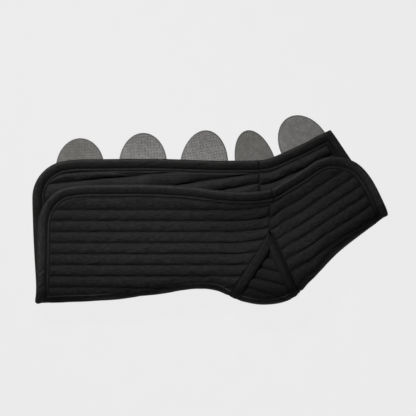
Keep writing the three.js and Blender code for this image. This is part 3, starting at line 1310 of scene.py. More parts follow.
@dataclass
class EdgeStrip:
    """Padded strip of cloth laid along a path and stitched down.

    Attributes:
        name: CAD node name, which the piece's name starts with.
        sheet: Sheet that the strip lies on.
        path: Outer edge of the strip as spots.
        width: Width of the strip in millimetres.
        side: 1 where the strip lies to the left of its path, seen from outside, and -1 to the right.
        pad: Thickness at the crown.
        thin: Thickness where the stitching presses it.
        stitched: Distances of the stitch lines from the path.
        seam_side: -1 or 1 where the strip stays before or past the seam, and 0 where it crosses none.
        gather: Middle and half length, along the path, of a stretch that is gathered into small creases.
        gather_step: Distance between those creases.
        gather_depth: Share of the thickness that they take.
        square_rows: Numbers of the path's points at square corners.
        seam_lap: Section numbers by which a strip may go past the seam that it stays beside.
        joined: Share of its width under which a strip is joined to its neighbour.
        uneven: Share by which the wadding is uneven, and the step of that wave.
        pucker: Share by which the cloth puckers, and the step of that wave.
        fold_pad: Least thickness at the fold.
        end_dip: Share by which a strip thins at its ends, to show the joint, and over which length.
    """

    name: str
    sheet: FoldedSheet
    path: np.ndarray
    width: float
    side: float
    pad: float
    thin: float
    stitched: tuple[float, ...]
    seam_side: float = 0.0
    gather: tuple[float, float] = (0.0, 0.0)
    gather_step: float = 7.5
    gather_depth: float = 0.24
    square_rows: tuple[int, ...] = ()
    seam_lap: float = 0.03
    joined: float = 0.93
    uneven: tuple[float, float] = (0.06, 11.0)
    pucker: tuple[float, float] = (0.05, 5.0)
    fold_pad: float = 6.8
    end_dip: tuple[float, float] = (0.62, 2.2)

    def across(self) -> np.ndarray:
        """Distances of the columns from the path."""
        raise NotImplementedError

    def beside(self, distance: float) -> np.ndarray:
        """Path at a distance across the strip.

        Args:
            distance: Millimetres from the strip's own path.

        Returns:
            Spots in the path's order.
        """
        moved = self.sheet.beside(self.path, self.side * distance)
        if self.seam_side:
            limit = SEAM - self.seam_side * self.seam_lap
            nearer = np.maximum if self.seam_side > 0 else np.minimum
            moved[:, 0] = nearer(moved[:, 0], limit)
            return moved
        for i in (0, -1):
            start = self.path[i]
            moved[i] = (start[0], start[1] - math.copysign(distance, start[1]))
        return moved

    def thickness(self, across: np.ndarray, inward: np.ndarray) -> np.ndarray:
        """Thickness of the strip.

        Args:
            across: Distances from the path.
            inward: Distances to the inner edge, large where the strip is joined to its neighbour.

        Returns:
            Thickness in millimetres.
        """
        raise NotImplementedError

    def sunk(self, across: np.ndarray) -> np.ndarray:
        """How far the strip lies inside the sheet at distances from the path."""
        return np.zeros_like(across)

    def gathered(self, x: np.ndarray, y: np.ndarray) -> np.ndarray:
        """Shapes the small slanting creases of the gathered stretch.

        Args:
            x: Lengths along the path.
            y: Distances from the path.

        Returns:
            Factors of the thickness.
        """
        middle, half = self.gather
        near = smooth(1.2 - np.abs(x - middle) / half)
        slanting = x + 0.8 * y + 2.0 * wander(x, 9, SEED + 4)
        folds = np.sin(slanting * math.tau / self.gather_step)
        outside_stitches = smooth((11 - y) / 4)
        return 1 + self.gather_depth * near * outside_stitches * folds

    def build(self) -> tuple[bpy.types.Object, list[np.ndarray]]:
        """Makes the strip's mesh.

        Returns:
            The strip, and the paths of its stitch lines in drawing millimetres.
        """
        inner_edge = self.beside(self.width)
        columns = self.across()
        share = (columns / self.width)[None, :, None]
        spots = self.path[:, None] * (1 - share) + inner_edge[:, None] * share
        s, b = spots[..., 0], spots[..., 1]
        edges = [self.sheet.point(path[:, 0], path[:, 1]) for path in (self.path, inner_edge)]
        length = lengths_along(edges[0])
        x = np.repeat(length[:, None], len(columns), axis=1)
        wide = np.linalg.norm(edges[1] - edges[0], axis=1)[:, None] / self.width
        y = columns[None] * (wide if self.seam_side else 1.0) + np.zeros_like(x)
        far = 1e3
        inward = np.where(wide > self.joined, self.width - y, far)
        uneven = self.uneven[0] * wander(x, self.uneven[1], SEED + 2)
        pucker = self.pucker[0] * wander(x + 3 * y, self.pucker[1], SEED + 3)
        thickness = self.thickness(y, inward) * (1 + uneven + pucker)
        bent = self.sheet.bend(s, b)
        inside_edge = smooth((y + 2) / 3)
        thickness = np.maximum(thickness, self.fold_pad * bent * inside_edge)
        if self.gather[1] > 0:
            thickness *= self.gathered(x, y)
        if not self.seam_side:
            dip, dip_length = self.end_dip
            thickness *= 1 - dip * smooth(1 - np.minimum(x, length[-1] - x) / dip_length)
        outer, inner = self.sheet.faces(s, b, thickness, self.sunk(y) * (1 - bent))
        # Painted shade: the tone is low where the strip is thin, beside its stitch lines and in the tape's
        # groove, and the knit's material darkens it there
        tone = np.clip((thickness - self.thin) / (self.pad - self.thin), 0, 1)
        piece = Slab(outer, inner, np.stack([x, y], axis=2), tone).build(f"{self.name}_cloth")
        sharp = np.zeros(s.shape, bool)
        sharp[list(self.square_rows)] = True
        subdivide(piece, sharp)
        paths = []
        for distance in self.stitched:
            j = int(np.argmin(np.abs(columns - distance)))
            paths += [outer[1:-1, j], inner[1:-1, j]]
        return piece, paths


@dataclass
class Binding(EdgeStrip):
    """Strip folded round a free edge: rounded there, crowned, and held by two stitch lines.

    Attributes:
        crown_from: Distance from the path where the crown is full.
        crown_power: Power of the crown's fall to the first stitch line.
        ridge: Thickness of the ridge between the stitch lines.
        past_edge: Distance past the path where the rounded edge ends.
        rounding: Width of the rounded edge.
    """

    crown_from: float = 1.6
    crown_power: float = 1.9
    ridge: float = 1.5
    past_edge: float = 1.9
    rounding: float = 3.4

    def across(self) -> np.ndarray:
        """Lays out the columns, close together at the edge and beside the stitch lines.

        Returns:
            Distances of the columns from the path.
        """
        first, second = self.stitched
        edge = np.array([-1.8, -1.5, -0.8, 0.6, 2.4, 4.6, 7.0, 9.0])
        beside_first = first + np.array([-0.8, 0, 0.8])
        beside_second = second + np.array([-1.8, -0.8, 0, 0.5])
        return np.concatenate([edge, beside_first, beside_second])

    def thickness(self, across: np.ndarray, inward: np.ndarray) -> np.ndarray:
        """Thickness of the strip, rounded at its free edge.

        Args:
            across: Distances from the path.
            inward: Distances to the inner edge, which a binding doesn't need.

        Returns:
            Thickness in millimetres.
        """
        first, second = self.stitched
        fall = np.clip((across - self.crown_from) / (first - self.crown_from), 0, 1)
        crown = (self.pad - self.thin) * (1 - fall**self.crown_power)
        between = np.clip((across - first) / (second - first), 0, 1)
        ridge = np.sin(math.pi * between) * self.ridge
        return arc((across + self.past_edge) / self.rounding) * (self.thin + crown + ridge)


@dataclass
class SeamTape(EdgeStrip):
    """Strip over a seam, crowned between the stitching along both of its edges.

    Attributes:
        gap: Width of the open groove between tape and panel, negative where the tape laps the panel.
        depth: Depth of that groove.
        rounding: Width of the rounded edges.
        columns: Columns across the tape.
    """

    gap: float = 0.0
    depth: float = 2.4
    rounding: float = 6.0
    columns: int = 15

    def across(self) -> np.ndarray:
        """Distances of the columns from the path, close together at both edges."""
        return self.width * (1 - np.cos(np.linspace(0, math.pi, self.columns))) / 2

    def thickness(self, across: np.ndarray, inward: np.ndarray) -> np.ndarray:
        """Thickness of the strip, rounded at both edges."""
        crown = arc(np.minimum(across - self.gap, inward) / self.rounding)
        return self.thin + (self.pad - self.thin) * crown

    def sunk(self, across: np.ndarray) -> np.ndarray:
        """How far the strip lies inside the sheet: deep in the open groove."""
        wall = smooth((self.gap + 0.6 - across) / 0.8)
        return self.depth * wall if self.gap > 0 else np.zeros_like(across)


@dataclass(frozen=True)
class HookTab:
    """Grey hook tab lying on the floor, its root under the back flap, in drawing millimetres.

    Attributes:
        name: CAD node name, which the piece's name starts with.
        tip: Farthest point of the tab.
        lean: Turn to the right in degrees.
        half: Half of its width.
        cap: Length of its half-oval end.
        shown: Length beyond the flap's edge.
        curl: How far the tip turns up.
        lap: Length hidden under the flap.
        sheet: Thickness.
        rim: Width of the plain rim round the hooks.
        rim_fade: Width over which the hooks start.
        soft: How far the edges of the faces are rounded off.
        soft_width: Width of that rounding.
        blunt: Share of the half-oval's turn that is kept, so that its tip doesn't narrow to a point.
        straight_rows: Rows along the straight sides.
        cap_rows: Rows along the half-oval end.
        columns: Columns across the tab.
    """

    name: str
    tip: tuple[float, float]
    lean: float
    half: float
    cap: float
    shown: float
    curl: float
    lap: float = 48.0
    sheet: float = 2.0
    rim: float = 1.0
    rim_fade: float = 0.8
    soft: float = 0.5
    soft_width: float = 1.2
    blunt: float = 0.992
    straight_rows: int = 12
    cap_rows: int = 40
    columns: int = 41

    @property
    def length(self) -> float:
        """Whole length of the tab."""
        return self.lap + self.shown

    @property
    def area(self) -> float:
        """Area of one face."""
        return 2 * self.half * (self.length - self.cap) + math.pi / 2 * self.half * self.cap

    def build(self) -> bpy.types.Object:
        """Makes the tab's mesh, its tone 0 on the rim and 1 on the hooks.

        Returns:
            The new piece.
        """
        straight = np.linspace(-self.length, -self.cap, self.straight_rows)[:-1]
        bend = self.cap * (np.sin(np.linspace(0, self.blunt, self.cap_rows) * math.pi / 2) - 1)
        reach = np.concatenate([straight, bend])
        run = np.clip(reach / self.cap + 1, 0, 1)
        width = self.half * np.sqrt(1 - run**2)
        share = np.sin(np.linspace(-1, 1, self.columns) * math.pi / 2)
        across = width[:, None] * share
        up = np.repeat(reach[:, None], len(share), axis=1)
        inward = self.half * (1 - np.hypot(across / self.half, run[:, None]))
        angle = math.radians(self.lean)
        x = self.tip[0] + up * math.sin(angle) + across * math.cos(angle)
        y = self.tip[1] + up * math.cos(angle) - across * math.sin(angle)
        raised = self.curl * np.clip(up / self.shown + 1, 0, 1) ** 2
        soft = self.soft * (1 - arc(inward / self.soft_width + 0.02))
        outer = np.stack([x, y, raised + self.sheet - soft], axis=2)
        inner = np.stack([x, y, raised + soft], axis=2)
        tone = smooth((inward - self.rim) / self.rim_fade)
        return Slab(outer, inner, np.stack([across, up], axis=2), tone).build(f"{self.name}_tape")


@dataclass(frozen=True)
class StitchRows:
    """Rows of thread stitches along paths, set out by Geometry Nodes.

    Attributes:
        name: Piece name.
        paths: Paths in drawing millimetres.
        spacing: Distance between stitches.
        length: Length of one stitch.
        radius: Half of the thread's thickness.
        segments: Faces round a stitch, few because there are thousands of stitches.
        rings: Faces along a stitch.
    """

    name: str
    paths: list[np.ndarray]
    spacing: float = 3.4
    length: float = 2.5
    radius: float = 0.42
    segments: int = 6
    rings: int = 4

    def tree(self, thread: bpy.types.Material) -> bpy.types.NodeTree:
        """Makes the node tree that sets a stitch at each step along the paths.

        Args:
            thread: Material of the stitches.

        Returns:
            The new tree.
        """
        tree = bpy.data.node_groups.new("stitch_rows", "GeometryNodeTree")
        add = partial(add_node, tree)
        face = tree.interface
        face.new_socket("Paths", in_out="INPUT", socket_type="NodeSocketGeometry")
        for label in ("Spacing", "Length", "Radius"):
            face.new_socket(label, in_out="INPUT", socket_type="NodeSocketFloat")
        face.new_socket("Stitches", in_out="OUTPUT", socket_type="NodeSocketGeometry")
        given = add("NodeGroupInput").outputs
        curve = add("GeometryNodeMeshToCurve", {"Mesh": given["Paths"]}).outputs["Curve"]
        points = add(
            "GeometryNodeCurveToPoints", {"Curve": curve, "Length": given["Spacing"]}, mode="LENGTH"
        ).outputs
        turn = add("FunctionNodeAlignRotationToVector", {"Vector": points["Tangent"]}, axis="X")
        ball = {"Segments": self.segments, "Rings": self.rings, "Radius": 1.0}
        stitch = add("GeometryNodeMeshUVSphere", ball).outputs["Mesh"]
        sizes = {"X": given["Length"], "Y": given["Radius"], "Z": given["Radius"]}
        size = add("ShaderNodeCombineXYZ", sizes).outputs["Vector"]
        set_out = {
            "Points": points["Points"],
            "Instance": stitch,
            "Rotation": turn.outputs["Rotation"],
            "Scale": size,
        }
        placed = add("GeometryNodeInstanceOnPoints", set_out).outputs["Instances"]
        real = add("GeometryNodeRealizeInstances", {"Geometry": placed}).outputs["Geometry"]
        done = add("GeometryNodeSetMaterial", {"Geometry": real, "Material": thread}).outputs["Geometry"]
        add("NodeGroupOutput", {"Stitches": done})
        return tree

    def build(self, thread: bpy.types.Material) -> bpy.types.Object:
        """Makes the stitches as one plain mesh.

        Args:
            thread: Material of the stitches.

        Returns:
            The new piece.
        """
        starts = np.cumsum([0] + [len(path) for path in self.paths])
        edges = [(i, i + 1) for a, b in zip(starts[:-1], starts[1:]) for i in range(a, b - 1)]
        mesh = bpy.data.meshes.new(self.name)
        mesh.from_pydata(in_frame(np.vstack(self.paths)), edges, [])
        piece = add_object(self.name, mesh)
        rows = piece.modifiers.new("stitches", "NODES")
        rows.node_group = self.tree(thread)
        sizes = {"Spacing": self.spacing, "Length": self.length / 2, "Radius": self.radius}
        for item in rows.node_group.interface.items_tree:
            if item.in_out == "INPUT" and item.name in sizes:
                rows[item.identifier] = sizes[item.name] * MM
        freeze(piece)
        return piece


def feed(tree: bpy.types.NodeTree, node: bpy.types.Node, inputs: dict[str | int, object]) -> None:
    """Gives a node's inputs their values and links.

    Args:
        tree: Tree that the node is in.
        node: Node to feed.
        inputs: Values or output sockets for the node's inputs, by name or number.
    """
    for key, value in inputs.items():
        if isinstance(value, bpy.types.NodeSocket):
            tree.links.new(value, node.inputs[key])
        else:
            node.inputs[key].default_value = value


def add_node(
    tree: bpy.types.NodeTree, kind: str, inputs: dict[str | int, object] | None = None, **settings: object
) -> bpy.types.Node:
    """Adds a node to a tree.

    Args:
        tree: Tree that takes the node.
        kind: Node type.
        inputs: Values or output sockets for the node's inputs, by name or number.
        settings: Other properties of the node.

    Returns:
        The new node.
    """
    node = tree.nodes.new(kind)
    for key, value in settings.items():
        setattr(node, key, value)
    feed(tree, node, inputs or {})
    return node


def linear(code: str) -> tuple[float, float, float, float]:
    """Linear colour of an sRGB hex code."""
    parts = [int(code[i : i + 2], 16) / 255 for i in (1, 3, 5)]
    return (*(c / 12.92 if c <= 0.04045 else ((c + 0.055) / 1.055) ** 2.4 for c in parts), 1.0)


def new_material(name: str) -> tuple[bpy.types.Material, bpy.types.NodeTree, bpy.types.Node]:
    """Makes a material with only its surface shader.

    Args:
        name: Material name.

    Returns:
        The material, its tree and its Principled shader.
    """
    material = bpy.data.materials.new(name)
    material.use_nodes = True
    return material, material.node_tree, material.node_tree.nodes["Principled BSDF"]


@dataclass(frozen=True)
class BrushedKnit:
    """Black brushed knit: a fine mesh of loops under a short nap, dusty in spots, with painted shade in the
    stitched grooves so that it is paler where it swells.

    Attributes:
        name: Material name.
        dark: Painted shade colour in the stitched grooves.
        pale: Colour on the crowns.
        lining: Colour on the crowns of the smoother inner face.
        loop: Width of one knit loop in millimetres, drawn coarser than the real one so that it shows.
        nap: Strength of the uneven nap from 0 to 1.
        sheen: Weight of the soft glow at grazing angles.
        shine: Level of the mirror-like part of the light.
        rough: Roughness of the outer face.
        smooth_rough: Roughness of the inner face.
        streak: Length and width of the nap's streaks, in millimetres, drawn coarser so that they show.
        patch: Size of the dusty and worn patches, in millimetres.
        relief: Height of the loops and the nap, in millimetres.
        glow: Colour of the sheen.
        crease: Length from the fold to the painted highlight line beside it, which stands in for the light
            on a pressed crease, in millimetres.
        crease_width: Half width of that line, in millimetres.
        crease_stretch: Length of the stretches in which it shows, in millimetres.
        crease_highlight: Colour of that painted highlight.
    """

    name: str
    dark: str
    pale: str
    lining: str
    loop: float
    nap: float
    sheen: float
    shine: float
    rough: float
    smooth_rough: float
    streak: tuple[float, float] = (6.6667, 2.32558)
    patch: float = 14.2857
    relief: float = 0.6
    glow: str = "#b9b6b2"
    crease: float = 14.5
    crease_width: float = 1.1
    crease_stretch: float = 111.111
    crease_highlight: str = "#62625f"

    def painted_crease_highlight(self, tree: bpy.types.NodeTree, cloth: bpy.types.NodeSocket) -> bpy.types.NodeSocket:
        """Draws the broken painted highlight line beside the fold, where a pressed crease would catch the
        light.

        Args:
            tree: Material's tree.
            cloth: Lengths along and across the cloth.

        Returns:
            Strength of the line from 0 to 1.
        """
        add = partial(add_node, tree)
        fold = add("ShaderNodeAttribute", attribute_name="fold").outputs["Fac"]
        beside = add("ShaderNodeMath", {0: fold, 1: self.crease * MM}, operation="SUBTRACT").outputs[0]
        away = add("ShaderNodeMath", {0: beside}, operation="ABSOLUTE").outputs[0]
        fade = {"Value": away, "From Max": self.crease_width * MM, "To Min": 1.0, "To Max": 0.0}
        thin = add("ShaderNodeMapRange", fade).outputs["Result"]
        wave = {"Vector": cloth, "Scale": 1 / (self.crease_stretch * MM), "Detail": 1.0}
        stretches = add("ShaderNodeTexNoise", wave).outputs["Fac"]
        broken = {"Value": stretches, "From Min": 0.44, "From Max": 0.54}
        pressed = add("ShaderNodeMapRange", broken).outputs["Result"]
        return add("ShaderNodeMath", {0: thin, 1: pressed}, operation="MULTIPLY").outputs[0]

    def build(self) -> bpy.types.Material:
        """Makes the material.

        Returns:
            The new material.
        """
        material, tree, shader = new_material(self.name)
        add = partial(add_node, tree)
        cloth = add("ShaderNodeUVMap", uv_map="cloth").outputs["UV"]
        tone = add("ShaderNodeAttribute", attribute_name="tone").outputs["Fac"]
        lining = add("ShaderNodeAttribute", attribute_name="lining").outputs["Fac"]
        # Knit loops, streaks of the brushed nap, and patches of dust and wear
        mesh = {"Vector": cloth, "Scale": 1 / (self.loop * MM), "Randomness": 0.35}
        loops = add("ShaderNodeTexVoronoi", mesh, voronoi_dimensions="2D").outputs["Distance"]
        drawn_out = (1 / (self.streak[0] * MM), 1 / (self.streak[1] * MM), 1.0)
        brushed = add("ShaderNodeMapping", {"Vector": cloth, "Scale": drawn_out}).outputs["Vector"]
        fibres = {"Vector": brushed, "Scale": 1.0, "Detail": 4.0, "Roughness": 0.7}
        streaks = add("ShaderNodeTexNoise", fibres).outputs["Fac"]
        contrast = {"Value": streaks, "From Min": 0.3, "From Max": 0.7}
        nap = add("ShaderNodeMapRange", contrast).outputs["Result"]
        dust = {"Vector": cloth, "Scale": 1 / (self.patch * MM), "Detail": 4.0}
        patches = add("ShaderNodeTexNoise", dust).outputs["Fac"]
        # Paler with the nap and the dust, darker between the loops, and painted shade in the stitched
        # grooves
        worn = add("ShaderNodeMath", {0: nap, 1: self.nap, 2: 0.05}, operation="MULTIPLY_ADD").outputs[0]
        dusty = {0: patches, 1: 0.4, 2: worn}
        mottled = add("ShaderNodeMath", dusty, operation="MULTIPLY_ADD").outputs[0]
        between = {0: loops, 1: -0.4, 2: mottled}
        knitted = add("ShaderNodeMath", between, operation="MULTIPLY_ADD").outputs[0]
        # Painted shade: where the tone attribute is low, in the stitched grooves, the colour goes towards
        # the dark shade colour
        crowned = {"Value": tone, "From Max": 0.7, "To Min": 0.06}
        raised = add("ShaderNodeMapRange", crowned).outputs["Result"]
        groove_shade = {0: knitted, 1: raised}
        shade = add("ShaderNodeMath", groove_shade, operation="MULTIPLY", use_clamp=True).outputs[0]
        faces = {0: lining, 6: linear(self.pale), 7: linear(self.lining)}
        crown = add("ShaderNodeMix", faces, data_type="RGBA").outputs[2]
        shaded = {0: shade, 6: linear(self.dark), 7: crown}
        colour = add("ShaderNodeMix", shaded, data_type="RGBA").outputs[2]
        # Painted highlight: a pale broken line beside the fold, for the light on a pressed crease
        pressed = {0: self.painted_crease_highlight(tree, cloth), 6: colour, 7: linear(self.crease_highlight)}
        creased = add("ShaderNodeMix", pressed, data_type="RGBA").outputs[2]
        pile = add("ShaderNodeMath", {0: nap, 1: 0.8, 2: loops}, operation="MULTIPLY_ADD").outputs[0]
        bump = add("ShaderNodeBump", {"Height": pile, "Strength": 0.5, "Distance": self.relief * MM})
        # Smoother on the lining, and uneven with the patches
        both = {"Value": lining, "To Min": self.rough, "To Max": self.smooth_rough}
        rough = add("ShaderNodeMapRange", both).outputs["Result"]
        spread = {0: patches, 1: 0.3, 2: -0.15}
        uneven = add("ShaderNodeMath", spread, operation="MULTIPLY_ADD").outputs[0]
        worn_rough = add("ShaderNodeMath", {0: rough, 1: uneven}, operation="ADD").outputs[0]
        surface = {
            "Base Color": creased,
            "Normal": bump.outputs["Normal"],
            "Roughness": worn_rough,
            "Specular IOR Level": self.shine,
            "Sheen Weight": self.sheen,
            "Sheen Roughness": 0.45,
            "Sheen Tint": linear(self.glow),
        }
        feed(tree, shader, surface)
        return material


@dataclass(frozen=True)
class HookTape:
    """Grey hook tape: rows of moulded hooks with a painted highlight where they catch the light, and a plain
    darker rim.

    Attributes:
        name: Material name.
        base: Colour between the hooks.
        tip: Colour of the hooks, a painted highlight.
        rim: Colour of the plain rim.
        pitch: Distance between hooks in millimetres, drawn coarser than the real one so that it shows.
        patch: Size of the patches where the hooks lie flat and their painted highlight is weaker, in
            millimetres.
        relief: Height of the hooks, in millimetres.
    """

    name: str
    base: str
    tip: str
    rim: str
    pitch: float = 2.05
    patch: float = 9.0909
    relief: float = 0.6

    def build(self) -> bpy.types.Material:
        """Makes the material.

        Returns:
            The new material.
        """
        material, tree, shader = new_material(self.name)
        add = partial(add_node, tree)
        tape = add("ShaderNodeUVMap", uv_map="cloth").outputs["UV"]
        tone = add("ShaderNodeAttribute", attribute_name="tone").outputs["Fac"]
        rows = {"Vector": tape, "Scale": 1 / (self.pitch * MM), "Randomness": 0.18}
        hooks = add("ShaderNodeTexVoronoi", rows, voronoi_dimensions="2D").outputs["Distance"]
        near = {"Value": hooks, "From Min": 0.5, "From Max": 0.1}
        bead = add("ShaderNodeMapRange", near).outputs["Result"]
        wear = {"Vector": tape, "Scale": 1 / (self.patch * MM), "Detail": 5.0}
        patches = add("ShaderNodeTexNoise", wear).outputs["Fac"]
        mixed = add("ShaderNodeMath", {0: patches, 1: 1.3, 2: -0.65}, operation="MULTIPLY_ADD").outputs[0]
        lit = add("ShaderNodeMath", {0: bead, 1: mixed}, operation="ADD", use_clamp=True).outputs[0]
        # Painted highlight on the hooks, inside the plain rim
        tips = {0: lit, 6: linear(self.base), 7: linear(self.tip)}
        hooked = add("ShaderNodeMix", tips, data_type="RGBA").outputs[2]
        rimmed = {0: tone, 6: linear(self.rim), 7: hooked}
        colour = add("ShaderNodeMix", rimmed, data_type="RGBA").outputs[2]
        raised = add("ShaderNodeMath", {0: bead, 1: tone}, operation="MULTIPLY").outputs[0]
        bump = add("ShaderNodeBump", {"Height": raised, "Strength": 0.5, "Distance": self.relief * MM})
        glossy = {"Value": lit, "To Min": 0.75, "To Max": 0.5}
        surface = {
            "Base Color": colour,
            "Normal": bump.outputs["Normal"],
            "Roughness": add("ShaderNodeMapRange", glossy).outputs["Result"],
            "Specular IOR Level": 0.35,
        }
        feed(tree, shader, surface)
        return material


@dataclass(frozen=True)
class Thread:
    """Black twisted thread, sunk in the cloth and dull.

    Attributes:
        name: Material name.
        dark: Colour between the strands.
        pale: Colour of the strands.
        strand: Width of a strand in millimetres.
        relief: Height of the strands in millimetres.
        wave_bands: About how many bands a metre of Blender's wave texture has at a scale of one.
    """

    name: str
    dark: str
    pale: str
    strand: float = 0.5
    relief: float = 0.2
    wave_bands: float = 6.0

    def build(self) -> bpy.types.Material:
        """Makes the material.

        Returns:
            The new material.
        """
        material, tree, shader = new_material(self.name)
        add = partial(add_node, tree)
        place = add("ShaderNodeTexCoord").outputs["Object"]
        scale = 1 / (self.strand * MM) / self.wave_bands
        twist = {"Vector": place, "Scale": scale, "Distortion": 1.5}
        strands = add("ShaderNodeTexWave", twist).outputs["Fac"]
        twisted = {0: strands, 6: linear(self.dark), 7: linear(self.pale)}
        colour = add("ShaderNodeMix", twisted, data_type="RGBA").outputs[2]
        bump = add("ShaderNodeBump", {"Height": strands, "Strength": 0.3, "Distance": self.relief * MM})
        dull = {"Value": strands, "To Min": 0.65, "To Max": 0.5}
        surface = {
            "Base Color": colour,
            "Normal": bump.outputs["Normal"],
            "Roughness": add("ShaderNodeMapRange", dull).outputs["Result"],
            "Specular IOR Level": 0.15,
        }
        feed(tree, shader, surface)
        return material


@dataclass(frozen=True)
class Lamp:
    """Square studio lamp.

    Attributes:
        name: Lamp name.
        place: Lamp position in metres.
        size: Side of the lamp in metres.
        watts: Power of the lamp.
        beam: Angle over which it spreads, in degrees.
    """

    name: str
    place: tuple[float, float, float]
    size: float
    watts: float
    beam: float

    def build(self, faced: tuple[float, float, float]) -> None:
        """Adds the lamp.

        Args:
            faced: Point that it faces, in metres.
        """
        light = bpy.data.lights.new(self.name, "AREA")
        light.spread = math.radians(self.beam)
        light.size = self.size
        light.energy = self.watts
        lamp = add_object(self.name, light)
        lamp.location = self.place
        lamp.rotation_euler = (Vector(faced) - lamp.location).to_track_quat("-Z", "Y").to_euler()


@dataclass(frozen=True)
class Studio:
    """Pale floor, soft light from the top of the picture, and a camera straight above.

    Attributes:
        aim: Point on the floor at the middle of the picture, in metres.
        height: Camera height in metres.
        across: Width of the floor in the picture, in metres.
        far: Half width of the floor, in metres.
        floor_glow: Share of the floor's brightness that shadows can't take away.
        paper_grain: Size of the paper's uneven spots in millimetres.
        sky: Strength of the light from all sides.
        lit: Point on the calf part that the lamps face, in metres.
        lamps: Key and fill lamp.
    """

    aim: tuple[float, float] = (-0.00236, 0.002)
    height: float = 6.0
    across: float = PHOTO_WIDTH_PX * MM_PER_PX * MM
    far: float = 3.0
    floor_glow: float = 1.0
    paper_grain: float = 33.3333
    sky: float = 0.022
    lit: tuple[float, float, float] = (-0.08, 0.04, 0.0)
    lamps: tuple[Lamp, ...] = (
        Lamp("key", (-0.75, 1.25, 1.1), 0.35, 0.98, 30.0),
        Lamp("fill", (0.1, -2.0, 1.0), 1.0, 3.6, 180.0),
    )

    def paper(self) -> bpy.types.Material:
        """Makes the floor's finish: pale studio paper, slightly uneven.

        Returns:
            The new material.
        """
        material, tree, shader = new_material("pale studio paper")
        add = partial(add_node, tree)
        place = add("ShaderNodeTexCoord").outputs["Object"]
        spots = {"Vector": place, "Scale": 1 / (self.paper_grain * MM), "Detail": 3.0}
        grain = add("ShaderNodeTexNoise", spots).outputs["Fac"]
        pale = {0: grain, 6: linear("#e9e9e9"), 7: linear("#ebebeb")}
        surface = {
            "Base Color": linear("#303030"),
            "Emission Color": add("ShaderNodeMix", pale, data_type="RGBA").outputs[2],
            "Emission Strength": self.floor_glow,
            "Roughness": 1.0,
            "Specular IOR Level": 0.0,
        }
        feed(tree, shader, surface)
        return material

    def floor(self) -> bpy.types.Object:
        """Makes the floor.

        Returns:
            The new object.
        """
        far = self.far
        mesh = bpy.data.meshes.new("floor")
        corners = [(-far, -far, 0), (far, -far, 0), (far, far, 0), (-far, far, 0)]
        mesh.from_pydata(corners, [], [(0, 1, 2, 3)])
        floor = add_object("floor", mesh)
        mesh.materials.append(self.paper())
        # The floor's glow stays out of the cloth's shine
        floor.visible_glossy = False
        return floor

    def camera(self) -> None:
        """Adds the camera straight above."""
        camera = bpy.data.cameras.new("camera")
        camera.sensor_width = 36.0
        camera.lens = camera.sensor_width * self.height / self.across
        camera.clip_end = 20.0
        eye = add_object("camera", camera)
        eye.location = (*self.aim, self.height)
        bpy.context.scene.camera = eye

    def build(self) -> bpy.types.Object:
        """Sets up the lights, the camera and the floor.

        Returns:
            The floor.
        """
        for lamp in self.lamps:
            lamp.build(self.lit)
        world = bpy.data.worlds.new("studio")
        world.use_nodes = True
        backdrop = world.node_tree.nodes["Background"]
        feed(world.node_tree, backdrop, {"Color": linear("#ececec"), "Strength": self.sky})
        bpy.context.scene.world = world
        bpy.context.scene.view_settings.view_transform = "Standard"
        self.camera()
        return self.floor()


class Slot(Enum):
    """Material slots of the record."""

    QUILTED = "quilted_cloth"
    BINDING = "binding_cloth"
    HOOK = "hook_tape"


